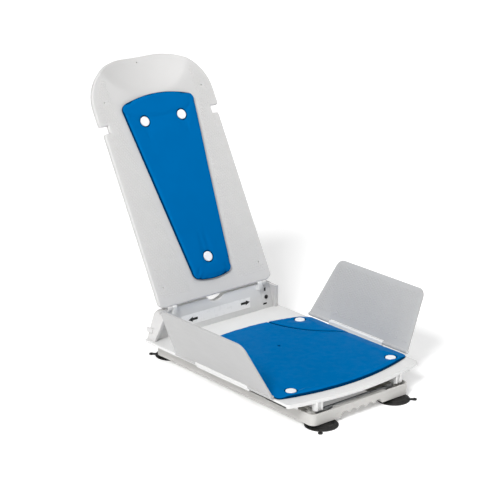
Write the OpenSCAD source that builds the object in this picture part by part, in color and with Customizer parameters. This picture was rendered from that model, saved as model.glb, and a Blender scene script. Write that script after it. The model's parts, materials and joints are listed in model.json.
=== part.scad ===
// Bath lift: suction-cup base, spindle-driven scissor frame, padded seat with flaps, reclining backrest.
// Millimetres, +Z up, front towards -Y, origin on the floor under the middle of the base.

/* [Base] */
// Width of the base tray
base_w = 290; // [270:1:310]
// Length of the base tray
base_l = 556; // [540:1:600]
// Height of the tray's underside above the floor
base_ground = 9; // [7:0.5:14]
// Height of the tray's walls
base_h = 26; // [24:0.5:27]
// Wall thickness of the tray
base_wall = 3; // [2:0.5:3.5]
// Floor thickness of the tray
base_floor_t = 3; // [2:0.5:3.5]
// Corner radius of the tray
base_corner_r = 14; // [8:1:20]
// Width of the two openings in the tray's floor
well_w = 160; // [120:2:170]
// Length of the floor kept at each end
well_end_l = 62; // [55:1:70]
// Length of the floor web under the drive
drive_web_l = 130; // [100:2:160]
// Width of the finger grip in the front edge
grip_w = 150; // [110:2:156]
// Height of the finger grip
grip_h = 11; // [8:0.5:13]
// Depth of the front grip bar
grip_bar_t = 14; // [8:0.5:16]

/* [Suction cups] */
// Diameter of a suction cup
cup_d = 76; // [60:1:84]
// Distance of a cup's centre from the tray's side
cup_inset_x = 36.5; // [30:0.5:45]
// Distance of a cup's centre from the tray's end
cup_inset_y = 13; // [10:0.5:16]
// Diameter of a cup's stud
stud_d = 10; // [6:0.5:14]
// Length of a pull tab beyond the cup
tab_l = 15; // [8:1:20]
// Width of a pull tab
tab_w = 11; // [6:0.5:16]
// Thickness of a pull tab
tab_t = 3; // [2:0.5:4]

/* [Scissor frame] */
// Distance between an arm's end pivots
arm_l = 480; // [474:1:486]
// Thickness of an arm
arm_t = 8; // [5:0.5:8]
// Height of an arm
arm_h = 18; // [15:0.5:18]
// Gap between an outer and an inner arm
arm_gap = 4; // [3:0.5:5]
// Inner face of the outer arms from the middle
arm_x = 118; // [116:0.5:119]
// Front pivots from the tray's front end
pivot_inset = 30; // [26:1:34]
// Lower pivots above the tray's underside
pivot_h = 15; // [14:0.5:15.5]
// Height between an arm's two ends when the lift is down
lift_fold = 25; // [24:0.5:26]
// Diameter of the axles
axle_d = 12; // [8:0.5:12]
// Diameter of the centre pins
pin_d = 10; // [7:0.5:11]
// Thickness of the pivot lugs and slide blocks
lug_t = 10; // [8:0.5:10]
// Length of a slide block
slide_l = 22; // [18:1:26]
// Height of a slide block
slide_h = 13; // [12.5:0.5:13.5]
// Wall thickness of the slide tracks
track_t = 3; // [2:0.5:3]
// Length of the slide tracks
track_l = 258; // [250:1:262]

/* [Drive] */
// Diameter of the motor
motor_d = 40; // [30:1:42]
// Length of the motor
motor_l = 110; // [80:1:120]
// Width of the gearbox
gearbox_w = 62; // [46:1:70]
// Length of the gearbox
gearbox_l = 46; // [36:1:56]
// Height of the gearbox
gearbox_h = 43; // [38:0.5:44]
// Diameter of the spindle
spindle_d = 12; // [9:0.5:13]
// Length of the crosshead with its nut
crosshead_l = 32; // [26:1:34]
// Width of the crosshead
crosshead_w = 52; // [40:1:60]
// Height of the crosshead
crosshead_h = 22; // [19:0.5:22]

/* [Seat] */
// Width of the deck
seat_w = 392; // [386:1:396]
// Height of the deck's top above the floor
deck_z = 66; // [65.5:0.5:69]
// Thickness of the deck
deck_t = 6; // [4:0.5:6]
// Deck's rear end from the middle of the base
deck_rear = 252; // [248:1:258]
// How far the deck's front corners reach past the front pivots
deck_nose = 6; // [2:0.5:12]
// How far the front lip bows out at its middle
lip_bow = 28; // [20:1:34]
// Height of the front lip
lip_h = 9; // [7:0.5:12]
// Width of the front lip's bead
lip_t = 5; // [3:0.5:8]
// Depth of the stiffening ribs below the deck
deck_rib_h = 11; // [8:0.5:14]
// Thickness of the deck's ribs
deck_rib_t = 3; // [2:0.5:4]

/* [Seat pad] */
// Deck left beside the seat pad
pad_margin = 2; // [1.5:0.5:10]
// Deck left in front of the pad's front corners
pad_lead = 30; // [24:1:36]
// Rear corners of the pad from the middle of the base
pad_rear = 112; // [104:1:118]
// How far the pad's front edge bows out
pad_front_bow = 30; // [20:1:36]
// How far the pad's rear edge bows out
pad_rear_bow = 34; // [20:1:40]
// Edge thickness of the pads
pad_t = 5; // [4:0.5:7]
// Crown of the pads above their edges
pad_crown = 2; // [1:0.25:3]
// Diameter of a press button
button_d = 24; // [16:1:28]
// Front buttons from the pad's side
button_front_side = 44; // [30:1:60]
// Front buttons from the pad's front corners
button_front_in = 12; // [10:1:30]
// Rear buttons from the pad's side
button_rear_side = 40; // [30:1:60]
// Rear buttons from the pad's rear corners
button_rear_in = 11; // [6:1:30]

/* [Flaps] */
// Height of a flap from its hinge
flap_h = 148; // [130:1:160]
// Thickness of a flap
flap_t = 4; // [3:0.5:4.5]
// Angle of a flap above the horizontal
flap_angle = 62; // [55:1:70]
// Rear end of the flap hinge
flap_rear = 121; // [110:1:130]
// Front end of the flap hinge
flap_front = 212; // [200:1:220]
// How far the flap narrows at the rear
flap_taper_rear = 32; // [10:1:40]
// How far the flap narrows in front
flap_taper_front = 18; // [10:1:30]
// Corner radius of a flap
flap_r = 20; // [10:1:26]
// Diameter of the hinge barrels
barrel_d = 9; // [8:0.5:10]
// Diameter of the flap hinge pins
flap_pin_d = 5; // [3:0.5:6]
// Hinge line outside the deck's edge
hinge_out = 7; // [6.5:0.5:8]
// Hinge line above the deck
hinge_up = 6; // [5.5:0.5:7]
// Rear end of the seat's own hinge barrel
barrel_rear = 48; // [40:1:60]
// Front end of the seat's own hinge barrel
barrel_front = 133; // [120:1:145]

/* [Rear block] */
// Deck left behind the block
block_tail = 2; // [0:0.5:3]
// Depth of the block at its foot
block_t = 22; // [20:0.5:24]
// Height of the block above the deck
block_h = 69; // [66:0.5:70]
// Width of the block between its end caps
block_w = 292; // [280:1:296]
// Wall thickness of the block
block_wall = 3; // [2:0.5:4]
// Width of an end cap at its foot
cap_w = 44; // [38:1:46]
// Width of an end cap at its top
cap_top_w = 14; // [10:1:18]
// Width of the scoop in the block's top edge
scoop_w = 50; // [40:1:60]
// Depth of the scoop
scoop_h = 13; // [9:0.5:16]
// Width of the label plate
label_w = 210; // [150:2:220]
// Height of the label plate
label_h = 26; // [18:1:32]
// Thickness of the label plate
label_t = 0.8; // [0.5:0.1:1]
// Diameter of the control inlet
inlet_d = 10; // [6:0.5:12]

/* [Latches] */
// Height of a release latch
latch_h = 12; // [8:0.5:14]
// Thickness of a release latch
latch_t = 8; // [6:0.5:10]
// Latch's middle above the deck
latch_up = 22; // [16:1:26]
// How far the latch's end stands out of the cap
latch_out = 3.5; // [3.5:0.5:8]
// Length of the latch's finger tab behind the cap
finger_l = 12; // [8:1:18]

/* [Backrest] */
// Recline of the backrest from the vertical
recline = 28.5; // [24:0.5:32]
// Backrest panel's width below the head part
panel_w = 334; // [320:1:340]
// Backrest panel's width at the head part
head_w = 348; // [340:1:352]
// Length of the panel from its bottom edge
panel_l = 597; // [580:1:610]
// Thickness of the panel's skin
panel_t = 4; // [3:0.5:5]
// Depth of the panel's rim
rim_depth = 16; // [10:0.5:18]
// Wall thickness of the rim and the ribs
rim_t = 3; // [2:0.5:4]
// Corner radius at the panel's bottom
panel_r = 25; // [15:1:30]
// Radius of the dished head part
dish_r = 95; // [80:1:98]
// Depth of the dished head part
dish_h = 27; // [15:1:30]
// Height of the side notches above the bottom edge
notch_s = 436; // [420:1:445]
// Height of a side notch
notch_h = 20; // [12:1:26]
// Depth of a side notch
notch_w = 17; // [10:1:20]
// Diameter of the panel's small holes
hole_d = 5; // [3:0.5:7]
// Diameter of the backrest's hinge knuckles
knuckle_d = 12; // [10:0.5:12]
// Width of a hinge knuckle
knuckle_w = 12; // [9:0.5:12]
// Diameter of the backrest's hinge pins
hinge_pin_d = 6; // [4:0.5:7]
// Middle of the hinges' lugs from the block's ends
hinge_in = 16; // [14:1:26]
// Hinge line below the panel's bottom edge
hinge_drop = 7; // [6.5:0.5:8]

/* [Backrest pad] */
// Width of the backrest pad at its top
back_pad_top_w = 212; // [190:2:224]
// Width of the backrest pad at its bottom
back_pad_low_w = 114; // [90:2:130]
// Bottom of the backrest pad above the panel's edge
back_pad_s = 40; // [34:1:44]
// Length of the backrest pad at its sides
back_pad_l = 440; // [430:1:445]
// How far the pad's top edge bows out
back_pad_bow = 22; // [12:1:24]
// How far the pad's bottom edge bows out
back_pad_low_bow = 6; // [2:1:10]
// Height of the upper buttons above the panel's edge
back_button_s = 435; // [420:1:445]
// Sideways distance of the upper buttons
back_button_x = 55; // [45:1:65]
// Height of the lower button above the panel's edge
low_button_s = 87; // [75:1:100]

/* [Hidden] */
$fn = 64;
LEFT = -1;
RIGHT = 1;

// Clearances and overruns
fit = 0.05;
slip = 0.3;
side_gap = 1;
over = 2;

// Colours
ivory = [0.90, 0.88, 0.82];
white = [0.93, 0.93, 0.94];
grey = [0.80, 0.81, 0.83];
blue = [0.02, 0.40, 0.70];
black = [0.05, 0.05, 0.05];
steel = [0.66, 0.67, 0.69];

// Base levels
base_top = base_ground + base_h;
floor_top = base_ground + base_floor_t;
cup_x = base_w / 2 - cup_inset_x;
cup_y = base_l / 2 - cup_inset_y;
cup_rim_h = 2.5;
cup_rim_t = 3;
cup_top_d = 40;
stud_h = floor_top + base_floor_t;
stud_head_d = 16;
lobe_count = 5;

// Scissor frame: the outer arms rise to the rear, the inner arms fall to the rear
pivot_y = -base_l / 2 + pivot_inset;
low_z = base_ground + pivot_h;
high_z = low_z + lift_fold;
arm_run = sqrt(arm_l * arm_l - lift_fold * lift_fold);
slide_y = pivot_y + arm_run;
mid_y = pivot_y + arm_run / 2;
mid_z = (low_z + high_z) / 2;
inner_x = arm_x - arm_gap - arm_t;
outer_lug_x = arm_x + arm_t + side_gap;
inner_lug_x = inner_x - side_gap - lug_t;
lug_d = 22;
seat_lug_d = 18;
boss_d = 26;
pin_head_t = 2;
track_rear = slide_y + slide_l / 2 + track_t + side_gap;
track_front = track_rear - track_l;
track_lip = 7;
seat_track_x = outer_lug_x + lug_t + slip + track_t;
buffer_d = 10;
buffer_rear_share = 0.94;
buffer_front_share = 0.12;

// Drive: the crosshead stops short of the gearbox when the arms stand at their steepest
arm_top_angle = 58;
drive_gap = 3.4;
drive_web_rear = 16;
gearbox_rear = pivot_y + arm_l * cos(arm_top_angle) - crosshead_l / 2 - drive_gap;
gearbox_front = gearbox_rear - gearbox_l;
motor_z = floor_top + gearbox_h / 2;
motor_cap_l = 8;
motor_cap_step = 3;
motor_cap_d = motor_d - 2 * motor_cap_step;
bearing_t = 16;
bearing_w = 40;
bearing_h = 24;
spindle_rear = base_l / 2 - base_wall - side_gap;
spindle_grip = 14;
nut_slip = 0.4;
journal_gap = 0.05;

// Seat
deck_front = deck_nose - pivot_y;
deck_rib_share = 0.53;
deck_rib_x = seat_track_x + deck_rib_share * (seat_w / 2 - seat_track_x);
deck_low = deck_z - deck_t;
lip_z = deck_z - lip_h;
deck_rib_z = deck_low - deck_rib_h;
peg_d = 8;
button_t = 2.5;
button_seat = 2.5;
peg_l = deck_t + button_seat + button_t;
button_slip = 0.5;
hinge_x_side = seat_w / 2 + hinge_out;
hinge_z = deck_z + hinge_up;
barrel_web_t = 4;
pad_w = seat_w - 2 * pad_margin;
pad_front = deck_front - pad_lead;
seat_button_places = [for (x = [-1, 1]) [x * (pad_w / 2 - button_front_side), button_front_in - pad_front],
    for (x = [-1, 1]) [x * (pad_w / 2 - button_rear_side), pad_rear - button_rear_in]];
groove_out = 101;
groove_x = pad_w / 2 + groove_out;
groove_rear = 43;
groove_y = pad_rear + groove_rear;
groove_r = 214;
groove_w = 2.4;
groove_depth = 1.4;
dimple_d = 9;

// Pad rings from the foot to the crown: share of the outline, share of the edge height, share of the crown
pad_ring_shares = [[0.985, 0, 0], [0.997, 0.3, 0], [1, 0.6, 0], [0.994, 0.86, 0], [0.975, 1, 0],
    [0.9, 1, 0.3], [0.72, 1, 0.66], [0.45, 1, 0.92]];
edge_steps = 12;
corner_steps = 6;
pad_corner_r = 16;

// Rear block
block_y = deck_rear - block_tail - block_t;
block_top = deck_z + block_h;
cap_base_x = block_w / 2 + cap_w;
cap_top_x = block_w / 2 + cap_top_w;
cap_round_h = 16;
block_lean = 8;
latch_z = deck_z + latch_up;
latch_y = block_y + block_t / 2;
latch_in_x = block_w / 2 + block_wall;
cap_side_angle = 20;
cap_shoulder = [cap_top_x, block_top - cap_round_h];
cap_side_top = cap_shoulder + cap_round_h * [cos(cap_side_angle), sin(cap_side_angle)];
cap_side_slope = (cap_side_top[0] - cap_base_x) / (cap_side_top[1] - deck_z);
latch_end_x = cap_base_x + cap_side_slope * (latch_up - latch_h / 2) + latch_out;
finger_t = 3;
inlet_up = 30;
inlet_out = 1.5;
inlet_x = block_w / 2 + inlet_d;
label_up = 28;

// Backrest: its own plane has X across, Y up along the panel and Z towards the sitter
hinge_n = 6;
hinge_ahead = 3.7;
hinge_above = 2.4;
hinge_x = block_w / 2 - hinge_in;
hinge_y = block_y - hinge_ahead;
backrest_z = block_top + hinge_above;
neck_t = 2 * hinge_n;
strap_l = 36;
strap_t = 4;
knuckle_x = hinge_x + knuckle_w + side_gap;
head_s = 486;
top_flat = 40;
rib_depth = 8;
rib_low_share = 0.06;
rib_high_share = 0.66;
rib_x_shares = [-0.33, -0.09, 0.09, 0.33];
screw_d = 8;
screw_t = 2;
screw_low_share = 0.42;
screw_high_share = 0.82;
hole_in = 22;
hole_side = panel_w / 2 - hole_in;
hole_low_s = 43;
hole_high_s = 498;
hang_hole_drop = 10;
back_button_places = [[-back_button_x, back_button_s], [back_button_x, back_button_s], [0, low_button_s]];

// Turns a point on a circle: radius r, angle a
function polar(r, a) = [r * cos(a), r * sin(a)];

// Bow of an edge at t, which runs from -1 to 1 along it
function bow(b, t) = b * (1 - t * t);

// Closed outline of a pad: half widths at both ends, end places, bows and corner radius
function pad_outline(low_w, high_w, low, high, low_bow, high_bow) = concat(
    [for (i = [0 : edge_steps]) let (t = 2 * i / edge_steps - 1)
        [t * (low_w / 2 - pad_corner_r), low - bow(low_bow, t)]],
    [for (i = [1 : corner_steps]) let (a = -90 + 90 * i / (corner_steps + 1))
        [low_w / 2 - pad_corner_r, low + pad_corner_r] + polar(pad_corner_r, a)],
    [for (i = [1 : edge_steps - 1]) let (t = i / edge_steps)
        [low_w / 2 + (high_w - low_w) / 2 * t, low + pad_corner_r + (high - low - 2 * pad_corner_r) * t]],
    [for (i = [1 : corner_steps]) let (a = 90 * i / (corner_steps + 1))
        [high_w / 2 - pad_corner_r, high - pad_corner_r] + polar(pad_corner_r, a)],
    [for (i = [0 : edge_steps]) let (t = 1 - 2 * i / edge_steps)
        [t * (high_w / 2 - pad_corner_r), high + bow(high_bow, t)]],
    [for (i = [1 : corner_steps]) let (a = 90 + 90 * i / (corner_steps + 1))
        [-high_w / 2 + pad_corner_r, high - pad_corner_r] + polar(pad_corner_r, a)],
    [for (i = [1 : edge_steps - 1]) let (t = 1 - i / edge_steps)
        [-low_w / 2 - (high_w - low_w) / 2 * t, low + pad_corner_r + (high - low - 2 * pad_corner_r) * t]],
    [for (i = [1 : corner_steps]) let (a = 180 + 90 * i / (corner_steps + 1))
        [-low_w / 2 + pad_corner_r, low + pad_corner_r] + polar(pad_corner_r, a)]);

// A pad with drawn-in sides and a crown, as rings of the outline around its middle
module pad_form(outline, mid) {
    n = len(outline);
    rings = len(pad_ring_shares);
    points = concat([[0, mid, 0]],
        [for (r = pad_ring_shares) for (p = outline)
            [p[0] * r[0], mid + (p[1] - mid) * r[0], pad_t * r[1] + pad_crown * r[2]]],
        [[0, mid, pad_t + pad_crown]]);
    faces = concat(
        [for (i = [0 : n - 1]) [0, 1 + i, 1 + (i + 1) % n]],
        [for (k = [0 : rings - 2]) for (i = [0 : n - 1])
            [1 + k * n + i, 1 + (k + 1) * n + i, 1 + (k + 1) * n + (i + 1) % n]],
        [for (k = [0 : rings - 2]) for (i = [0 : n - 1])
            [1 + k * n + i, 1 + (k + 1) * n + (i + 1) % n, 1 + k * n + (i + 1) % n]],
        [for (i = [0 : n - 1]) [1 + rings * n, 1 + (rings - 1) * n + (i + 1) % n, 1 + (rings - 1) * n + i]]);
    polyhedron(points, faces);
}

// Rectangle with round corners, centred
module round_rect(w, l, r) {
    square([w - 2 * r, l], center = true);
    square([w, l - 2 * r], center = true);
    for (x = [-1, 1], y = [-1, 1]) translate([x * (w / 2 - r), y * (l / 2 - r)]) circle(r);
}

// A cylinder along X from x0 to x1
module rod_x(d, x0, x1, y, z) {
    translate([x0, y, z]) rotate([0, 90, 0]) cylinder(d = d, h = x1 - x0);
}

// A cylinder along Y from y0 to y1
module rod_y(d, y0, y1, x, z) {
    translate([x, y0, z]) rotate([-90, 0, 0]) cylinder(d = d, h = y1 - y0);
}

// A block from one corner to the other
module block(low, high) {
    translate(low) cube(high - low);
}

// Mirrors to the left side
module on_side(side) {
    mirror([side < 0 ? 1 : 0, 0, 0]) children();
}

// Places a shape on the backrest's plane, with its origin at the panel's bottom edge
module on_backrest() {
    translate([0, hinge_y, backrest_z]) rotate([90 - recline, 0, 0])
        translate([0, hinge_drop, hinge_n]) children();
}

// Places a shape on a flap: X away from the hinge, Z towards the sitter
module on_flap() {
    translate([hinge_x_side, 0, hinge_z]) rotate([0, -flap_angle, 0]) children();
}

// Base tray with wells in its floor, a finger grip in front and lugs for the lower axle
module base_tray() {
    color(ivory) difference() {
        union() {
            difference() {
                translate([0, 0, base_ground]) linear_extrude(base_h)
                    round_rect(base_w, base_l, base_corner_r);
                translate([0, 0, floor_top]) linear_extrude(base_h)
                    round_rect(base_w - 2 * base_wall, base_l - 2 * base_wall, base_corner_r - base_wall);
            }
            block([-grip_w / 2, -base_l / 2, base_ground], [grip_w / 2, -base_l / 2 + grip_bar_t, base_top]);
            for (side = [LEFT, RIGHT]) on_side(side) {
                block([outer_lug_x, pivot_y - lug_d / 2, floor_top],
                    [outer_lug_x + lug_t, pivot_y + lug_d / 2, low_z]);
                rod_x(lug_d, outer_lug_x, outer_lug_x + lug_t, pivot_y, low_z);
            }
        }
        base_wells();
        finger_grip();
        for (side = [LEFT, RIGHT]) on_side(side)
            rod_x(axle_d + 2 * fit, outer_lug_x - over, outer_lug_x + lug_t + over, pivot_y, low_z);
        for (x = [-cup_x, cup_x], y = [-cup_y, cup_y])
            translate([x, y, 0]) cylinder(d = stud_d + 2 * fit, h = floor_top + over);
    }
}

// Openings in the tray's floor in front of and behind the drive
module base_wells() {
    well_front = -base_l / 2 + well_end_l;
    web_rear = gearbox_rear + drive_web_rear;
    block([-well_w / 2, well_front, -over], [well_w / 2, web_rear - drive_web_l, floor_top + over]);
    block([-well_w / 2, web_rear, -over], [well_w / 2, base_l / 2 - well_end_l, floor_top + over]);
}

// Finger grip: a low arch with a row of lobes under the front bar
module finger_grip() {
    lobe_pitch = grip_w / (lobe_count + 1);
    grip_top = base_ground + grip_h;
    front = -base_l / 2 - over;
    rear = -base_l / 2 + grip_bar_t + over;
    half = (grip_w - lobe_pitch) / 2;
    block([-half, front, 0], [half, rear, grip_top - lobe_pitch / 4]);
    for (i = [0 : lobe_count - 1])
        rod_y(lobe_pitch, front, rear, (i - (lobe_count - 1) / 2) * lobe_pitch, grip_top - lobe_pitch / 2);
}

// One suction cup with its stud and pull tab, in the corner given by its signs
module suction_cup(sx, sy) {
    color(black) translate([sx * cup_x, sy * cup_y, 0]) {
        difference() {
            union() {
                cylinder(d = cup_d, h = cup_rim_h);
                translate([0, 0, cup_rim_h])
                    cylinder(d1 = cup_d, d2 = cup_top_d, h = base_ground - cup_rim_h);
                cylinder(d = stud_d, h = stud_h);
                translate([0, 0, floor_top]) cylinder(d = stud_head_d, h = base_floor_t);
                rotate([0, 0, atan2(sy, sx)]) cup_tab();
            }
            translate([0, 0, -over]) cylinder(d1 = cup_d - 2 * cup_rim_t, d2 = stud_d, h = base_ground);
        }
    }
}

// Pull tab that reaches out of a cup's rim
module cup_tab() {
    block([cup_d / 2 - cup_rim_t, -tab_w / 2, 0], [cup_d / 2 + tab_l - tab_w / 2, tab_w / 2, tab_t]);
    translate([cup_d / 2 + tab_l - tab_w / 2, 0, 0]) cylinder(d = tab_w, h = tab_t);
}

module suction_cup_front_left() { suction_cup(LEFT, -1); }
module suction_cup_front_right() { suction_cup(RIGHT, -1); }
module suction_cup_rear_left() { suction_cup(LEFT, 1); }
module suction_cup_rear_right() { suction_cup(RIGHT, 1); }

// Slotted track on the tray's floor for a lower slide block
module base_track() {
    x0 = inner_lug_x - slip - track_t;
    low = low_z - slide_h / 2 - slip;
    high = low_z + slide_h / 2 + slip;
    color(steel) {
        difference() {
            block([x0, track_front, floor_top], [x0 + track_t, track_rear, high + track_t]);
            block([x0 - over, track_front + track_t, low],
                [x0 + track_t + over, track_rear - track_t, high]);
        }
        block([x0, track_front, floor_top], [x0 + track_t + track_lip, track_rear, low]);
        block([x0, track_front, high], [x0 + track_t + track_lip, track_rear, high + track_t]);
    }
}

module base_track_left() { on_side(LEFT) base_track(); }
module base_track_right() { on_side(RIGHT) base_track(); }

// Rubber stops that the seat tracks come down on
module rest_buffers() {
    x = seat_track_x - track_t - track_lip / 2;
    track_low = high_z - slide_h / 2 - slip - track_t;
    color(black) for (side = [LEFT, RIGHT], s = [buffer_front_share, buffer_rear_share])
        translate([side * x, track_front + track_l * s, floor_top])
            cylinder(d = buffer_d, h = track_low - slip - floor_top);
}

module front_lower_axle() {
    reach = outer_lug_x + lug_t;
    color(steel) rod_x(axle_d, -reach, reach, pivot_y, low_z);
}

// Motor can with a stepped end cap, bolted to the gearbox
module motor() {
    color(grey) {
        rod_y(motor_d, gearbox_front - motor_l, gearbox_front, 0, motor_z);
        rod_y(motor_cap_d, gearbox_front - motor_l - motor_cap_l, gearbox_front - motor_l, 0, motor_z);
    }
}

// Gearbox on the tray's web, with the spindle's seat in its rear face
module gearbox() {
    color(grey) difference() {
        block([-gearbox_w / 2, gearbox_front, floor_top],
            [gearbox_w / 2, gearbox_rear, floor_top + gearbox_h]);
        rod_y(spindle_d + 2 * journal_gap, gearbox_rear - spindle_grip, gearbox_rear + over, 0, low_z);
    }
}

module spindle() {
    color(steel) rod_y(spindle_d, gearbox_rear - spindle_grip + journal_gap, spindle_rear, 0, low_z);
}

module spindle_bearing() {
    rear = base_l / 2 - base_wall;
    color(grey) difference() {
        block([-bearing_w / 2, rear - bearing_t, floor_top], [bearing_w / 2, rear, floor_top + bearing_h]);
        rod_y(spindle_d + 2 * journal_gap, rear - bearing_t - over, spindle_rear + journal_gap, 0, low_z);
    }
}

// A flat arm between two pivots on one side, with end eyes and a centre boss
module arm(x, front_z, rear_z) {
    tilt = atan2(rear_z - front_z, arm_run);
    color(ivory) translate([x, pivot_y, front_z]) rotate([tilt, 0, 0]) rotate([90, 0, 90]) difference() {
        linear_extrude(arm_t) {
            circle(d = arm_h);
            translate([0, -arm_h / 2]) square([arm_l, arm_h]);
            translate([arm_l, 0]) circle(d = arm_h);
            translate([arm_l / 2, 0]) circle(d = boss_d);
        }
        for (place = [0, arm_l]) translate([place, 0, -over])
            cylinder(d = axle_d + 2 * fit, h = arm_t + 2 * over);
        translate([arm_l / 2, 0, -over]) cylinder(d = pin_d + 2 * fit, h = arm_t + 2 * over);
    }
}

module outer_arm_left() { on_side(LEFT) arm(arm_x, low_z, high_z); }
module outer_arm_right() { on_side(RIGHT) arm(arm_x, low_z, high_z); }
module inner_arm_left() { on_side(LEFT) arm(inner_x, high_z, low_z); }
module inner_arm_right() { on_side(RIGHT) arm(inner_x, high_z, low_z); }

// Centre pin with a head outside and a spacer between the arms
module centre_pin() {
    color(steel) {
        rod_x(pin_d, inner_x - pin_head_t, arm_x + arm_t, mid_y, mid_z);
        rod_x(pin_d + 2 * pin_head_t, arm_x + arm_t, arm_x + arm_t + pin_head_t, mid_y, mid_z);
        rod_x(pin_d + 2 * pin_head_t, arm_x - arm_gap + slip, arm_x, mid_y, mid_z);
    }
}

module centre_pin_left() { on_side(LEFT) centre_pin(); }
module centre_pin_right() { on_side(RIGHT) centre_pin(); }

module front_upper_axle() {
    reach = inner_x + arm_t;
    color(steel) rod_x(axle_d, -reach, reach, pivot_y, high_z);
}

module upper_axle() {
    reach = outer_lug_x + lug_t;
    color(steel) rod_x(axle_d, -reach, reach, slide_y, high_z);
}

// Slide block on an axle's end, from x inwards to outwards
module slide_block(x, z) {
    color(white) difference() {
        block([x, slide_y - slide_l / 2, z - slide_h / 2],
            [x + lug_t, slide_y + slide_l / 2, z + slide_h / 2]);
        rod_x(axle_d + 2 * fit, x - over, x + lug_t + over, slide_y, z);
    }
}

module upper_slide_left() { on_side(LEFT) slide_block(outer_lug_x, high_z); }
module upper_slide_right() { on_side(RIGHT) slide_block(outer_lug_x, high_z); }
module lower_slide_left() { on_side(LEFT) slide_block(inner_lug_x, low_z); }
module lower_slide_right() { on_side(RIGHT) slide_block(inner_lug_x, low_z); }

// Crosshead that holds the spindle's nut and the two stub axles
module crosshead() {
    size = [crosshead_w, crosshead_l, crosshead_h] / 2;
    color(grey) difference() {
        translate([0, slide_y, low_z]) block(-size, size);
        rod_y(spindle_d + 2 * nut_slip, slide_y - crosshead_l, slide_y + crosshead_l, 0, low_z);
    }
}

module lower_axle() {
    color(steel) rod_x(axle_d, crosshead_w / 2, inner_x + arm_t, slide_y, low_z);
}

module lower_axle_left() { on_side(LEFT) lower_axle(); }
module lower_axle_right() { on_side(RIGHT) lower_axle(); }

// Points of the bowed front edge, from one side to the other, moved back by an inset
function lip_edge(inset) = [for (i = [0 : edge_steps]) let (t = 2 * i / edge_steps - 1)
    [t * seat_w / 2, -deck_front + inset - bow(lip_bow, t)]];

// Seat deck with its ribs, front lip, pivot lugs and hinge barrels
module seat_deck() {
    color(white) difference() {
        union() {
            translate([0, 0, deck_low]) linear_extrude(deck_t)
                polygon(concat(lip_edge(0), [[seat_w / 2, deck_rear], [-seat_w / 2, deck_rear]]));
            translate([0, 0, lip_z]) linear_extrude(lip_h)
                polygon(concat(lip_edge(0), [for (i = [edge_steps : -1 : 0]) lip_edge(lip_t)[i]]));
            block([-deck_rib_x, deck_rear - deck_rib_t, deck_rib_z], [deck_rib_x, deck_rear, deck_low]);
            for (side = [LEFT, RIGHT]) on_side(side) seat_side();
        }
        for (side = [LEFT, RIGHT]) on_side(side) {
            rod_x(axle_d + 2 * fit, inner_lug_x - over, inner_lug_x + lug_t + over, pivot_y, high_z);
            rod_y(flap_pin_d + 2 * fit, -barrel_front - over, barrel_rear + over, hinge_x_side, hinge_z);
        }
        for (p = seat_button_places) translate([p[0], p[1], deck_low - over])
            cylinder(d = peg_d + 2 * fit, h = deck_t + 2 * over);
    }
}

// One side of the deck: rib, pivot lug and hinge barrel
module seat_side() {
    web_low = deck_z - barrel_web_t;
    block([deck_rib_x - deck_rib_t, -deck_front, deck_rib_z], [deck_rib_x, deck_rear, deck_low]);
    block([inner_lug_x, pivot_y - seat_lug_d / 2, high_z],
        [inner_lug_x + lug_t, pivot_y + seat_lug_d / 2, deck_low]);
    rod_x(seat_lug_d, inner_lug_x, inner_lug_x + lug_t, pivot_y, high_z);
    rod_y(barrel_d, -barrel_front, barrel_rear, hinge_x_side, hinge_z);
    block([seat_w / 2 - barrel_web_t, -barrel_front, web_low], [hinge_x_side, barrel_rear, deck_z]);
    block([hinge_x_side - barrel_d / 2, -barrel_front, web_low], [hinge_x_side, barrel_rear, hinge_z]);
}

// Track under the deck for an upper slide block, open towards the arms
module seat_track() {
    low = high_z - slide_h / 2 - slip;
    high = high_z + slide_h / 2 + slip;
    lip_x = seat_track_x - track_t - track_lip;
    color(steel) {
        block([seat_track_x - track_t, track_front, low - track_t], [seat_track_x, track_rear, deck_low]);
        block([lip_x, track_front, low - track_t], [seat_track_x, track_rear, low]);
        block([lip_x, track_front, high], [seat_track_x, track_rear, deck_low]);
    }
}

module seat_track_left() { on_side(LEFT) seat_track(); }
module seat_track_right() { on_side(RIGHT) seat_track(); }

// Counterbore and peg hole of a press button in a pad's top
module button_seat_cut(place) {
    translate([place[0], place[1], button_seat])
        cylinder(d = button_d + 2 * button_slip, h = pad_t + pad_crown);
    translate([place[0], place[1], -over]) cylinder(d = peg_d + 2 * slip, h = pad_t);
}

// Press button with a shallow chamfered head and a peg
module press_button(place) {
    chamfer = button_t / 3;
    translate([place[0], place[1], button_seat]) {
        cylinder(d = button_d, h = button_t - chamfer);
        translate([0, 0, button_t - chamfer])
            cylinder(d1 = button_d, d2 = button_d - 2 * chamfer, h = chamfer);
        translate([0, 0, button_t - peg_l]) cylinder(d = peg_d, h = peg_l - chamfer);
    }
}

// Seat pad with its crown, the two curved channels, the middle dimple and the button seats
module seat_pad() {
    color(blue) translate([0, 0, deck_z]) difference() {
        pad_form(pad_outline(pad_w, pad_w, -pad_front, pad_rear, pad_front_bow, pad_rear_bow),
            (pad_rear - pad_front) / 2);
        for (p = seat_button_places) button_seat_cut(p);
        for (side = [LEFT, RIGHT]) translate([side * groove_x, groove_y, pad_t + pad_crown - groove_depth])
            difference() {
                cylinder(r = groove_r + groove_w / 2, h = groove_depth + over);
                translate([0, 0, -over]) cylinder(r = groove_r - groove_w / 2, h = groove_depth + 3 * over);
            }
        translate([0, 0, pad_t]) cylinder(d = dimple_d, h = pad_crown + over);
    }
}

module seat_pad_buttons() {
    color(white) translate([0, 0, deck_z]) for (p = seat_button_places) press_button(p);
}

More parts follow.
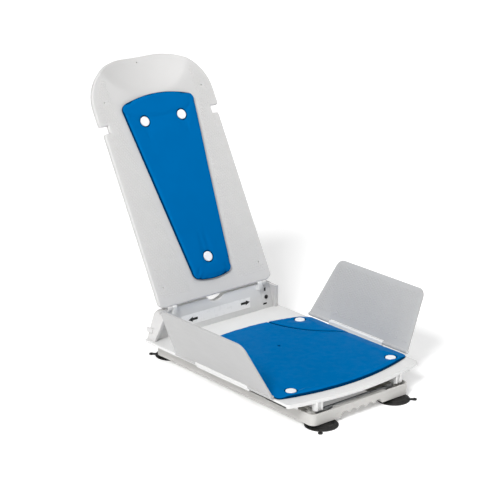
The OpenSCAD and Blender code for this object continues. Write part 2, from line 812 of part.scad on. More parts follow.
// Side profile of the rear block in Y and Z, leaning in at the back
module block_profile(half_w) {
    rotate([90, 0, 90]) translate([0, 0, -half_w]) linear_extrude(2 * half_w) polygon([[block_y, deck_z],
        [block_y + block_t, deck_z], [block_y + block_t - block_lean, block_top], [block_y, block_top]]);
}

// Rear block: open behind, with a scoop in its top edge and lugs for the backrest's hinges
module rear_block() {
    scoop_r = (scoop_w * scoop_w / 4 + scoop_h * scoop_h) / (2 * scoop_h);
    color(white) difference() {
        union() {
            block_profile(block_w / 2);
            for (side = [LEFT, RIGHT]) on_side(side) hinge_lug();
        }
        block([-block_w / 2 + block_wall, block_y + block_wall, deck_z + block_wall],
            [block_w / 2 - block_wall, block_y + block_t + over, block_top - scoop_h - block_wall]);
        rod_y(2 * scoop_r, block_y - over, block_y + block_t + over, 0, block_top - scoop_h + scoop_r);
        for (side = [LEFT, RIGHT]) on_side(side) {
            rod_x(hinge_pin_d + 2 * fit, hinge_x - knuckle_w, hinge_x + knuckle_w, hinge_y, backrest_z);
            knuckle_relief();
        }
    }
}

// Room for the backrest's own knuckle to turn in the block's top edge
module knuckle_relief() {
    rod_x(knuckle_d + 2 * side_gap, hinge_x + knuckle_w / 2, knuckle_x + knuckle_w / 2 + side_gap,
        hinge_y, backrest_z);
}

// Lug on the block's top edge that holds one of the backrest's hinge pins
module hinge_lug() {
    rod_x(knuckle_d, hinge_x - knuckle_w / 2, hinge_x + knuckle_w / 2, hinge_y, backrest_z);
    block([hinge_x - knuckle_w / 2, hinge_y - neck_t / 2, block_top - neck_t],
        [hinge_x + knuckle_w / 2, block_y + block_wall, backrest_z]);
}

// End cap of the rear block: sloping side, round shoulder, slot for the latch
module end_cap() {
    color(white) difference() {
        intersection() {
            block_profile(cap_base_x);
            rotate([90, 0, 0]) translate([0, 0, -block_y - block_t]) linear_extrude(block_t)
                polygon(concat([[block_w / 2, block_top], [block_w / 2, deck_z], [cap_base_x, deck_z]],
                    [for (i = [0 : corner_steps])
                        let (a = cap_side_angle + (90 - cap_side_angle) * i / corner_steps)
                        cap_shoulder + polar(cap_round_h, a)]));
        }
        knuckle_relief();
        block([latch_in_x - slip, latch_y - latch_t / 2 - slip, latch_z - latch_h / 2 - slip],
            [latch_end_x + over, latch_y + latch_t / 2 + slip, latch_z + latch_h / 2 + slip]);
    }
}

module end_cap_left() { on_side(LEFT) end_cap(); }
module end_cap_right() { on_side(RIGHT) end_cap(); }

module label_plate() {
    color(grey) block([-label_w / 2, block_y - label_t, deck_z + label_up - label_h / 2],
        [label_w / 2, block_y, deck_z + label_up + label_h / 2]);
}

// Closed inlet of the control cable, with a raised rim
module control_inlet() {
    color(black) difference() {
        rod_y(inlet_d, block_y - inlet_out, block_y, inlet_x, deck_z + inlet_up);
        rod_y(inlet_d / 2, block_y - inlet_out - over, block_y - inlet_out / 2, inlet_x, deck_z + inlet_up);
    }
}

// Release latch: a bar in the end cap's slot with a finger tab turned to the rear
module latch() {
    color(grey) {
        block([latch_in_x, latch_y - latch_t / 2, latch_z - latch_h / 2],
            [latch_end_x, latch_y + latch_t / 2, latch_z + latch_h / 2]);
        block([latch_end_x - finger_t, latch_y, latch_z - latch_h / 2],
            [latch_end_x, latch_y + latch_t / 2 + finger_l, latch_z + latch_h / 2]);
    }
}

module latch_left() { on_side(LEFT) latch(); }
module latch_right() { on_side(RIGHT) latch(); }

// Round a corner b between a and c with radius r
function fillet(a, b, c, r) = let (
    u = (a - b) / norm(a - b), v = (c - b) / norm(c - b),
    half = acos(u * v) / 2,
    mid = b + (u + v) / norm(u + v) * r / sin(half),
    p = b + u * r / tan(half) - mid, q = b + v * r / tan(half) - mid,
    from = atan2(p[1], p[0]), turn = (atan2(q[1], q[0]) - from + 540) % 360 - 180)
    [for (i = [0 : corner_steps]) mid + polar(r, from + turn * i / corner_steps)];

// Flap: a tapered plate with two hinge knuckles
module flap() {
    rear_low = [0, flap_rear];
    rear_top = [flap_h, flap_rear - flap_taper_rear];
    front_top = [flap_h, -flap_front + flap_taper_front];
    front_low = [0, -flap_front];
    gap = barrel_d / 2 + side_gap;
    color(grey) on_flap() difference() {
        union() {
            translate([0, 0, -flap_t / 2]) linear_extrude(flap_t)
                polygon(concat([front_low, rear_low], fillet(rear_low, rear_top, front_top, flap_r),
                    fillet(rear_top, front_top, front_low, flap_r)));
            rod_y(barrel_d, -flap_front, flap_rear, 0, 0);
        }
        block([-gap, -barrel_front - side_gap / 2, -gap], [gap, barrel_rear + side_gap / 2, gap]);
        rod_y(flap_pin_d + 2 * fit, -flap_front - over, flap_rear + over, 0, 0);
    }
}

module flap_left() { on_side(LEFT) flap(); }
module flap_right() { on_side(RIGHT) flap(); }

module flap_pin() {
    color(steel) rod_y(flap_pin_d, -flap_front, flap_rear, hinge_x_side, hinge_z);
}

module flap_pin_left() { on_side(LEFT) flap_pin(); }
module flap_pin_right() { on_side(RIGHT) flap_pin(); }

// Right half of the panel's outline, from the bottom corner to the middle of the top
function panel_half() = concat(
    fillet([0, 0], [panel_w / 2, 0], [panel_w / 2, notch_s], panel_r),
    [[panel_w / 2, notch_s - notch_h / 2], [head_w / 2, notch_s + notch_h / 2]],
    [for (i = [0 : edge_steps]) let (a = 90 * i / edge_steps)
        [top_flat + (head_w / 2 - top_flat) * cos(a), head_s + (panel_l - head_s) * sin(a)]]);

// Whole outline of the panel
function panel_outline() = let (half = panel_half())
    concat(half, [for (i = [len(half) - 1 : -1 : 0]) [-half[i][0], half[i][1]]]);

// Backrest panel: skin, dished head part, side rims and ribs behind
module backrest_panel() {
    ball_r = (dish_r * dish_r + dish_h * dish_h) / (2 * dish_h);
    ball = [0, panel_l, ball_r - dish_h];
    reach = 2 * dish_h;
    color(white) on_backrest() difference() {
        union() {
            difference() {
                translate([0, 0, -panel_t]) linear_extrude(panel_t) polygon(panel_outline());
                translate(ball) sphere(ball_r + panel_t);
            }
            intersection() {
                translate([0, 0, -reach]) linear_extrude(reach) polygon(panel_outline());
                difference() {
                    translate(ball) sphere(ball_r + panel_t);
                    translate(ball) sphere(ball_r);
                }
            }
            panel_ribs();
        }
        for (side = [LEFT, RIGHT]) on_side(side)
            block([panel_w / 2 - notch_w, notch_s - notch_h / 2, -rim_depth - over],
                [head_w, notch_s + notch_h / 2, over]);
        for (x = [-hole_side, hole_side], s = [hole_low_s, hole_high_s])
            translate([x, s, -rim_depth]) cylinder(d = hole_d, h = rim_depth + over);
        translate([0, panel_l - hang_hole_drop, -reach]) cylinder(d = hole_d, h = reach + over);
        for (p = back_button_places) translate([p[0], p[1], -panel_t - over])
            cylinder(d = peg_d + 2 * fit, h = panel_t + 2 * over);
    }
}

// Side rims and stiffening ribs on the panel's back
module panel_ribs() {
    for (side = [LEFT, RIGHT]) on_side(side) {
        block([panel_w / 2 - rim_t, panel_r, -rim_depth], [panel_w / 2, notch_s, -panel_t]);
        block([head_w / 2 - rim_t, notch_s + notch_h / 2, -rim_depth], [head_w / 2, head_s, -panel_t]);
    }
    for (x = rib_x_shares)
        block([x * panel_w - rim_t / 2, rib_low_share * panel_l, -panel_t - rib_depth],
            [x * panel_w + rim_t / 2, rib_high_share * panel_l, -panel_t]);
    for (s = [rib_low_share, rib_high_share])
        block([-panel_w / 2, s * panel_l - rim_t / 2, -panel_t - rib_depth],
            [panel_w / 2, s * panel_l + rim_t / 2, -panel_t]);
}

// Hinge piece screwed to the panel's back: a knuckle with a strap
module backrest_hinge() {
    color(white) on_backrest() difference() {
        union() {
            rod_x(knuckle_d, knuckle_x - knuckle_w / 2, knuckle_x + knuckle_w / 2, -hinge_drop, -hinge_n);
            block([knuckle_x - knuckle_w / 2, -hinge_drop, -panel_t - strap_t],
                [knuckle_x + knuckle_w / 2, strap_l - hinge_drop, -panel_t]);
        }
        rod_x(hinge_pin_d + 2 * fit, knuckle_x - knuckle_w, knuckle_x + knuckle_w, -hinge_drop, -hinge_n);
    }
}

module backrest_hinge_left() { on_side(LEFT) backrest_hinge(); }
module backrest_hinge_right() { on_side(RIGHT) backrest_hinge(); }

module backrest_pin() {
    color(steel) rod_x(hinge_pin_d, hinge_x - knuckle_w / 2, knuckle_x + knuckle_w / 2, hinge_y, backrest_z);
}

module backrest_pin_left() { on_side(LEFT) backrest_pin(); }
module backrest_pin_right() { on_side(RIGHT) backrest_pin(); }

// Backrest pad: a tapered crowned pad with button seats
module backrest_pad() {
    color(blue) on_backrest() difference() {
        pad_form(pad_outline(back_pad_low_w, back_pad_top_w, back_pad_s, back_pad_s + back_pad_l,
            back_pad_low_bow, back_pad_bow), back_pad_s + back_pad_l / 2);
        for (p = back_button_places) button_seat_cut(p);
    }
}

module backrest_pad_buttons() {
    color(white) on_backrest() for (p = back_button_places) press_button(p);
}

// Screws that hold the hinge straps to the panel
module hinge_screws() {
    color(steel) on_backrest() for (side = [LEFT, RIGHT], s = [screw_low_share, screw_high_share])
        translate([side * knuckle_x, s * strap_l - hinge_drop, -panel_t - strap_t - screw_t])
            cylinder(d = screw_d, h = screw_t);
}

base_tray();
suction_cup_front_left();
suction_cup_front_right();
suction_cup_rear_left();
suction_cup_rear_right();
base_track_left();
base_track_right();
rest_buffers();
front_lower_axle();
motor();
gearbox();
spindle();
spindle_bearing();
outer_arm_left();
outer_arm_right();
centre_pin_left();
centre_pin_right();
inner_arm_left();
inner_arm_right();
front_upper_axle();
upper_axle();
upper_slide_left();
upper_slide_right();
crosshead();
lower_axle_left();
lower_axle_right();
lower_slide_left();
lower_slide_right();
seat_deck();
seat_track_left();
seat_track_right();
seat_pad();
seat_pad_buttons();
rear_block();
end_cap_left();
end_cap_right();
label_plate();
control_inlet();
latch_left();
latch_right();
flap_left();
flap_right();
flap_pin_left();
flap_pin_right();
backrest_panel();
backrest_hinge_left();
backrest_hinge_right();
backrest_pin_left();
backrest_pin_right();
backrest_pad();
backrest_pad_buttons();
hinge_screws();
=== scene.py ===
"""Bath lift: moulded shells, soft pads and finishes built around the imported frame."""

from __future__ import annotations

import json
import logging
import math
from collections.abc import Callable
from dataclasses import dataclass
from enum import Enum

import bmesh
import bpy
from bmesh.types import BMEdge, BMesh, BMFace, BMVert
from mathutils import Matrix, Vector

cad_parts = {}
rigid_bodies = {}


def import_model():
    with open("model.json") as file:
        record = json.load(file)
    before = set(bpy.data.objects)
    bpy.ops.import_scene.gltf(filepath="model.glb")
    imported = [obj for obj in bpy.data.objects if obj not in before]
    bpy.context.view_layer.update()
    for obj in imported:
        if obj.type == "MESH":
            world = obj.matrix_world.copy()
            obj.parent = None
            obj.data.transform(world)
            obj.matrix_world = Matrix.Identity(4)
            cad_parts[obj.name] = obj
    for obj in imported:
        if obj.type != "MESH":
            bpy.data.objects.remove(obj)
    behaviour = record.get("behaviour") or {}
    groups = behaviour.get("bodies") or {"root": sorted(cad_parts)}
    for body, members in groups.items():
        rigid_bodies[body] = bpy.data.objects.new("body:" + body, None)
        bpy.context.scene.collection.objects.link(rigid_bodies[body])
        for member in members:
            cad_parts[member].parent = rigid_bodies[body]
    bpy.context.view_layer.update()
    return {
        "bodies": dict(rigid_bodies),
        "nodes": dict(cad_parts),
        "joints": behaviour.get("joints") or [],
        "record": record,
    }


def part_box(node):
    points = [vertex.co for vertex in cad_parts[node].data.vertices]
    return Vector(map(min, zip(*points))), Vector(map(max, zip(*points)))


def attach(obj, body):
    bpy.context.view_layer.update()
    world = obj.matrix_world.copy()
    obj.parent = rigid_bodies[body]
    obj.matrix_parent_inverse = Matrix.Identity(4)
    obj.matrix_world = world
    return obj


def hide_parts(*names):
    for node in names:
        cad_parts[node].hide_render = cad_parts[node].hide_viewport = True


LOG = logging.getLogger("bath_lift")
MM = 0.001
WELD = 1e-6
DOWN = Vector((0, 0, -1))
# Name of the mask of painted shade that darkens the pads' side walls and pressed seams.
PAINTED_SHADE_LAYER = "cut_edge"
Triple = tuple[float, float, float]
Colour = Triple
Point = tuple[float, float]
Socket = bpy.types.NodeSocket


class Side(Enum):
    """The two sides of the lift, as the camera names them."""

    LEFT = -1
    RIGHT = 1

    @property
    def word(self) -> str:
        """The side's name as used in node names."""
        return self.name.lower()

    @property
    def mirror(self) -> Matrix:
        """The matrix that carries a right-hand shape to this side."""
        return Matrix.Diagonal((self.value, 1, 1, 1))


@dataclass(frozen=True)
class Cloud:
    """A noise pattern: its pitch, octaves and squeeze along each axis, and its depth as a bump."""

    pitch: float
    detail: float = 3.0
    stretch: Triple = (1, 1, 1)
    depth: float = 0.0


class Shader:
    """A node material while it is being put together."""

    cloud_range: Point = (0.3, 0.7)

    def __init__(self, name: str) -> None:
        """Starts a material with its principled surface."""
        self.material = bpy.data.materials.new(name)
        self.material.use_nodes = True
        self.tree = self.material.node_tree
        self.surface = self.tree.nodes["Principled BSDF"]
        self.place = self.node("ShaderNodeTexCoord").outputs["Object"]

    def node(self, kind: str) -> bpy.types.Node:
        """Adds one node of a type."""
        return self.tree.nodes.new(kind)

    def link(self, source: Socket, target: Socket) -> None:
        """Joins two sockets."""
        self.tree.links.new(source, target)

    def feed(self, source: Socket, entry: str) -> None:
        """Joins a socket to one of the surface's entries."""
        self.link(source, self.surface.inputs[entry])

    def noise(self, cloud: Cloud) -> Socket:
        """Adds a noise pattern on the piece's own coordinates.

        Args:
            cloud: the pattern.

        Returns:
            The pattern's value from 0 to 1.
        """
        mapping = self.node("ShaderNodeMapping")
        mapping.inputs["Scale"].default_value = cloud.stretch
        self.link(self.place, mapping.inputs["Vector"])
        noise = self.node("ShaderNodeTexNoise")
        noise.inputs["Scale"].default_value = 1 / cloud.pitch
        noise.inputs["Detail"].default_value = cloud.detail
        self.link(mapping.outputs["Vector"], noise.inputs["Vector"])
        return noise.outputs["Fac"]

    def gloss(self, cloud: Cloud, middle: float, spread: Point) -> None:
        """Lets the roughness follow a pattern's middle range.

        Args:
            cloud: the pattern.
            middle: the roughness that it varies about.
            spread: how far it falls and how far it rises.
        """
        mapped = self.node("ShaderNodeMapRange")
        ends = (*self.cloud_range, middle - spread[0], middle + spread[1])
        for name, number in zip(("From Min", "From Max", "To Min", "To Max"), ends):
            mapped.inputs[name].default_value = number
        self.link(self.noise(cloud), mapped.inputs["Value"])
        self.feed(mapped.outputs["Result"], "Roughness")

    def tint(self, value: Socket, dark: Colour | Socket, light: Colour) -> Socket:
        """Mixes two colours by a value.

        Args:
            value: where between the two the colour lies.
            dark: colour at 0, or the socket that gives it.
            light: colour at 1.

        Returns:
            The mixed colour.
        """
        mix = self.node("ShaderNodeMix")
        mix.data_type = "RGBA"
        if isinstance(dark, Socket):
            self.link(dark, mix.inputs["A"])
        else:
            mix.inputs["A"].default_value = (*dark, 1)
        mix.inputs["B"].default_value = (*light, 1)
        self.link(value, mix.inputs["Factor"])
        return mix.outputs["Result"]

    def bump(self, layers: tuple[Cloud, ...]) -> None:
        """Stacks bump layers onto the surface.

        Args:
            layers: the patterns, each with its depth.
        """
        normal = None
        for layer in layers:
            made = self.node("ShaderNodeBump")
            made.inputs["Distance"].default_value = layer.depth
            self.link(self.noise(layer), made.inputs["Height"])
            if normal is not None:
                self.link(normal, made.inputs["Normal"])
            normal = made.outputs["Normal"]
        self.feed(normal, "Normal")


def shade(colour: Colour, share: float) -> Colour:
    """A colour made lighter or darker by a share."""
    return tuple(min(1.0, channel * share) for channel in colour)


@dataclass(frozen=True)
class Coat:
    """A finish: a colour that drifts, a roughness that varies, bumps, the level of one more entry, and painted
    shade where a mesh's mask asks for it.
    """

    colour: Colour
    roughness: float
    drift: Point
    level: float
    entry: str
    cloud: Cloud
    patch: Cloud
    spread: Point
    bumps: tuple[Cloud, ...]
    bloom: Colour | None = None
    # Share of the colour kept where painted shade is laid on a pad's walls and seams; None lays none.
    cut_shade: float | None = None

    def paint(self, made: Shader) -> None:
        """Lays the finish on a new material.

        Args:
            made: the material.
        """
        light = self.bloom or shade(self.colour, 1 + self.drift[1])
        tone = made.tint(made.noise(self.cloud), shade(self.colour, 1 - self.drift[0]), light)
        # Painted shade: where the pad's mask is set, the colour is darkened to the shade tone, standing in for the
        # shade on the pad's side walls and in its seams.
        if self.cut_shade is not None:
            shade_mask = made.node("ShaderNodeAttribute")
            shade_mask.attribute_name = PAINTED_SHADE_LAYER
            tone = made.tint(shade_mask.outputs["Fac"], tone, shade(self.colour, self.cut_shade))
        made.feed(tone, "Base Color")
        made.gloss(self.patch, self.roughness, self.spread)
        made.surface.inputs[self.entry].default_value = self.level
        made.bump(self.bumps)


def moulding(grain_depth: float) -> tuple[Cloud, ...]:
    """The slow dents of moulded plastic and its fine grain."""
    return Cloud(45 * MM, 2, depth=0.12 * MM), Cloud(0.9 * MM, 2, depth=grain_depth)


@dataclass(frozen=True)
class MouldedPlastic(Coat):
    """Satin moulded plastic with a fine grain and a faint cloudiness."""

    drift: Point = (0.03, 0.03)
    level: float = 0.4
    entry: str = "Specular IOR Level"
    cloud: Cloud = Cloud(60 * MM, 4)
    patch: Cloud = Cloud(9 * MM, 6, (1, 0.25, 1))
    spread: Point = (0.06, 0.06)
    bumps: tuple[Cloud, ...] = moulding(0.03 * MM)


@dataclass(frozen=True)
class PadSkin(Coat):
    """Smooth closed skin of a foam pad: satin, with a leathery grain, slow dents, and painted shade on its side
    walls and in its pressed seams.
    """

    roughness: float = 0.4
    drift: Point = (0.07, 0.07)
    level: float = 1.13
    entry: str = "IOR"
    cloud: Cloud = Cloud(85 * MM)
    patch: Cloud = Cloud(14 * MM, 5)
    spread: Point = (0.05, 0.07)
    bumps: tuple[Cloud, ...] = (Cloud(34 * MM, 2, depth=0.3 * MM), Cloud(0.8 * MM, depth=0.05 * MM))
    # Painted shade on the pad's side walls and seams, as a share of its colour.
    cut_shade: float | None = 0.3


@dataclass(frozen=True)
class Rubber(Coat):
    """Dull rubber with a chalky bloom."""

    roughness: float = 0.5
    drift: Point = (0.0, 0.0)
    level: float = 0.5
    entry: str = "Specular IOR Level"
    cloud: Cloud = Cloud(12 * MM, 6)
    patch: Cloud = Cloud(5 * MM, 4)
    spread: Point = (0.1, 0.1)
    bumps: tuple[Cloud, ...] = (Cloud(1.2 * MM, depth=0.05 * MM),)


def metal(colour: Colour, roughness: float, metallic: float, stretch: Triple = (1, 1, 1)) -> Coat:
    """Steel with drawing marks along one axis, or paint over it."""
    streaks = Cloud(1.5 * MM, 4, stretch, 0.02 * MM)
    return Coat(colour, roughness, (0.12, 0.06), metallic, "Metallic", streaks, streaks, (0.07, 0.09), (streaks,))


class Finish(Enum):
    """The finishes of the lift, each named for the record's material slot that it dresses."""

    IVORY_PLASTIC = MouldedPlastic((0.56, 0.55, 0.53), 0.45)
    WHITE_PLASTIC = MouldedPlastic((0.74, 0.74, 0.735), 0.36)
    PANEL_PLASTIC = MouldedPlastic((0.62, 0.615, 0.61), 0.44)
    FLAP_PLASTIC = MouldedPlastic((0.46, 0.46, 0.46), 0.5)
    BLUE_PAD = PadSkin((0.001, 0.136, 0.385))
    BUTTON_PLASTIC = MouldedPlastic((0.88, 0.89, 0.92), 0.25, (0.015, 0.015), 0.55, bumps=moulding(0.008 * MM))
    BLACK_RUBBER = Rubber((0.008, 0.008, 0.008), bloom=(0.022, 0.022, 0.021))
    STEEL = metal((0.60, 0.61, 0.63), 0.3, 1.0, (0.05, 1, 1))
    ARM_PAINT = metal((0.78, 0.77, 0.73), 0.45, 0.0)
    MOTOR_PAINT = metal((0.10, 0.105, 0.11), 0.5, 0.0)
    DRIVE_PLASTIC = MouldedPlastic((0.42, 0.43, 0.45), 0.5, (0.05, 0.05))
    LABEL_FILM = MouldedPlastic((0.86, 0.86, 0.86), 0.3, (0.01, 0.01), bumps=moulding(0.004 * MM))

    @property
    def slot(self) -> str:
        """The record's slot of this finish."""
        return self.name.lower()

    def material(self) -> bpy.types.Material:
        """The finish's material, made once."""
        name = f"{self.slot}_finish"
        if name not in bpy.data.materials:
            self.value.paint(Shader(name))
        return bpy.data.materials[name]


def filled(name: str, bm: BMesh) -> bpy.types.Mesh:
    """A mesh made from a bmesh, which is freed."""
    mesh = bpy.data.meshes.new(name)
    bm.to_mesh(mesh)
    bm.free()
    return mesh


def put(name: str, data: bpy.types.ID) -> bpy.types.Object:
    """Makes an object and puts it into the scene."""
    made = bpy.data.objects.new(name, data)
    bpy.context.scene.collection.objects.link(made)
    return made


def dress(name: str, bm: BMesh, body: str, finish: Finish, replaces: tuple[str, ...] = (),
          crease: float = 40.0) -> bpy.types.Object:
    """Turns a bmesh into a finished piece that rides on a body.

    Args:
        name: the piece's name.
        bm: its mesh, in place, which is freed.
        body: the body that it rides on.
        finish: its finish.
        replaces: the frame's nodes that it stands for.
        crease: edges sharper than this many degrees stay sharp.

    Returns:
        The piece.
    """
    mesh = filled(name, bm)
    mesh.shade_smooth()
    mesh.set_sharp_from_angle(angle=math.radians(crease))
    piece = put(name, mesh)
    mesh.materials.append(finish.material())
    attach(piece, body)
    if replaces:
        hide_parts(*replaces)
    LOG.info("%s: %d faces on %s", name, len(mesh.polygons), body)
    return piece


def sharp_edges(bm: BMesh, angle: float = 30.0) -> list[BMEdge]:
    """The edges where two faces meet at more than some degrees."""
    return [e for e in bm.edges if e.is_manifold and e.calc_face_angle(0) > math.radians(angle)]


def bevel(bm: BMesh, edges: list[BMEdge], width: float, segments: int, clamp: bool = True) -> None:
    """Rounds edges.

    Args:
        bm: the mesh.
        edges: the edges.
        width: how far the rounding reaches from each edge.
        segments: facets of the rounding.
        clamp: whether it narrows where two roundings would overlap.
    """
    bmesh.ops.bevel(bm, geom=edges, offset=width, offset_type="OFFSET", segments=segments, profile=0.5,
                    affect="EDGES", clamp_overlap=clamp, material=-1)


def softened(node: bpy.types.Object, width: float, segments: int = 2,
             corner: Callable[[BMEdge], bool] | None = None, corner_width: float = 0.0) -> BMesh:
    """A copy of a frame node with its edges rounded.

    Args:
        node: the frame's object.
        width: how far the rounding reaches from each edge.
        segments: facets of the rounding.
        corner: tells which edges get a wide rounding first, with twice the facets.
        corner_width: how far that one reaches.

    Returns:
        The rounded copy.
    """
    bm = bmesh.new()
    bm.from_mesh(node.data)
    bmesh.ops.remove_doubles(bm, verts=bm.verts, dist=WELD)
    bmesh.ops.dissolve_limit(bm, angle_limit=math.radians(1), verts=bm.verts, edges=bm.edges)
    if corner:
        bevel(bm, [e for e in bm.edges if e.is_manifold and corner(e)], corner_width, 2 * segments)
    bevel(bm, sharp_edges(bm), width, segments)
    return bm


def lathe(profile: list[Point], steps: int = 40) -> BMesh:
    """A turned shape about Z.

    Args:
        profile: radius and height of each point, from the axis to the axis.
        steps: facets round the axis.

    Returns:
        The closed shape.
    """
    bm = bmesh.new()
    verts = [bm.verts.new((radius, 0, height)) for radius, height in profile]
    edges = [bm.edges.new(pair) for pair in zip(verts, verts[1:])]
    bmesh.ops.spin(bm, geom=verts + edges, cent=(0, 0, 0), axis=(0, 0, 1), angle=math.tau, steps=steps,
                   use_merge=True, use_duplicate=False)
    bmesh.ops.remove_doubles(bm, verts=bm.verts, dist=WELD)
    bmesh.ops.recalc_face_normals(bm, faces=bm.faces)
    return bm


def join(target: BMesh, shape: BMesh, matrix: Matrix) -> None:
    """Adds a copy of a shape to another at a place.

    Args:
        target: the mesh that grows.
        shape: the mesh that is copied.
        matrix: where the copy goes.
    """
    stand_in = bpy.data.meshes.new("stand_in")
    shape.to_mesh(stand_in)
    stand_in.transform(matrix)
    if matrix.is_negative:
        stand_in.flip_normals()
    target.from_mesh(stand_in)
    bpy.data.meshes.remove(stand_in)


def add_box(bm: BMesh, place: Triple, size: Triple, plane: Matrix = Matrix()) -> None:
    """Adds a block to a mesh."""
    bmesh.ops.create_cube(bm, size=1, matrix=plane @ Matrix.Translation(place) @ Matrix.Diagonal((*size, 1)))


def extruded(bm: BMesh, faces: list[BMFace]) -> list[BMVert]:
    """Extrudes faces without moving them, and gives the new vertices."""
    grown = bmesh.ops.extrude_face_region(bm, geom=faces)["geom"]
    return [g for g in grown if isinstance(g, BMVert)]


def edge_outward(edge: BMEdge) -> Vector:
    """The direction that points away from an open edge's only face."""
    face = edge.link_faces[0]
    a, b = (v.co for v in edge.verts)
    across = (b - a).cross(face.normal).normalized()
    return across if across.dot((a + b) / 2 - face.calc_center_median()) > 0 else -across


def roll_edges(bm: BMesh, edges: list[BMEdge], profile: list[Point]) -> list[BMEdge]:
    """Grows an open border along a section, so that it rolls over downwards.

    Args:
        bm: the mesh.
        edges: the open border.
        profile: outward and downward distance of each step from the border.

    Returns:
        The new open border.
    """
    bm.normal_update()
    outward: dict[BMVert, Vector] = {}
    for edge in edges:
        for vert in edge.verts:
            outward[vert] = outward.get(vert, Vector()) + edge_outward(edge)
    origin = {v: (v.co.copy(), (d - DOWN * d.dot(DOWN)).normalized()) for v, d in outward.items()}
    for out, fall in profile:
        grown = bmesh.ops.extrude_edge_only(bm, edges=edges)["geom"]
        edges = [g for g in grown if isinstance(g, BMEdge)]
        moved = {}
        for vert in (g for g in grown if isinstance(g, BMVert)):
            old = next(e.other_vert(vert) for e in vert.link_edges if e.other_vert(vert) in origin)
            start, side = origin[old]
            vert.co = start + side * out + DOWN * fall
            moved[vert] = origin[old]
        origin = moved
    return edges


def quarter(steps: int) -> list[float]:
    """The angles of a quarter turn in even steps."""
    return [math.pi / 2 * i / steps for i in range(steps + 1)]


def arc(radius: float, steps: int) -> list[Point]:
    """Quarter-round section: outward and downward distance of each step."""
    return [(radius * math.sin(a), radius * (1 - math.cos(a))) for a in quarter(steps)[1:]]


def cut_outline(bm: BMesh, outline: list[Point]) -> None:
    """Trims a flat mesh to a convex outline that runs anticlockwise.

    Args:
        bm: the mesh, in the plane Z = 0.
        outline: the corners.
    """
    for (ax, ay), (bx, by) in zip(outline, outline[1:] + outline[:1]):
        normal = Vector((by - ay, ax - bx, 0))
        if normal.length < WELD:
            continue
        bmesh.ops.bisect_plane(bm, geom=bm.verts[:] + bm.edges[:] + bm.faces[:], dist=WELD,
                               plane_co=(ax, ay, 0), plane_no=normal, clear_outer=True)


def flat_grid(low: Point, high: Point, cell: float) -> BMesh:
    """A flat grid between two corners.

    Args:
        low: one corner.
        high: the other corner.
        cell: about how large each cell is.

    Returns:
        The grid.
    """
    bm = bmesh.new()
    width, length = high[0] - low[0], high[1] - low[1]
    bmesh.ops.create_grid(bm, x_segments=round(width / cell), y_segments=round(length / cell), size=0.5)
    bmesh.ops.scale(bm, vec=(width, length, 1), verts=bm.verts)
    bmesh.ops.translate(bm, vec=((low[0] + high[0]) / 2, (low[1] + high[1]) / 2, 0), verts=bm.verts)
    return bm


def smooth_step(value: float) -> float:
    """Rises smoothly from 0 to 1 as the value does."""
    value = min(1.0, max(0.0, value))
    return value * value * (3 - 2 * value)


@dataclass(frozen=True)
class GripDots:
    """Small flat-topped dots in staggered rows on a plane."""

    pitch: float = 7 * MM
    radius: float = 1.9 * MM
    top_share: float = 0.55
    height: float = 1.1 * MM
    facets: int = 8

    def build(self, low: Point, high: Point, free: Callable[[float, float], bool], plane: Matrix) -> BMesh:
        """Makes the dots of a field.

        Args:
            low: one corner of the field.
            high: the other corner.
            free: tells whether a dot may stand at a place.
            plane: where the field's plane lies.

        Returns:
            The dots.
        """
        rise = self.pitch * math.sqrt(3) / 2
        rows = int((high[1] - low[1]) / rise)
        columns = int((high[0] - low[0]) / self.pitch)
        spots = [(low[0] + (i + 0.5 * (row % 2)) * self.pitch, low[1] + row * rise)
                 for row in range(rows + 1) for i in range(columns + 1)]
        bm = bmesh.new()
        for x, y in (spot for spot in spots if free(*spot)):
            bmesh.ops.create_cone(bm, cap_ends=True, cap_tris=False, segments=self.facets, radius1=self.radius,
                                  radius2=self.radius * self.top_share, depth=2 * self.height,
                                  matrix=plane @ Matrix.Translation((x, y, 0)))
        bmesh.ops.recalc_face_normals(bm, faces=bm.faces)
        return bm


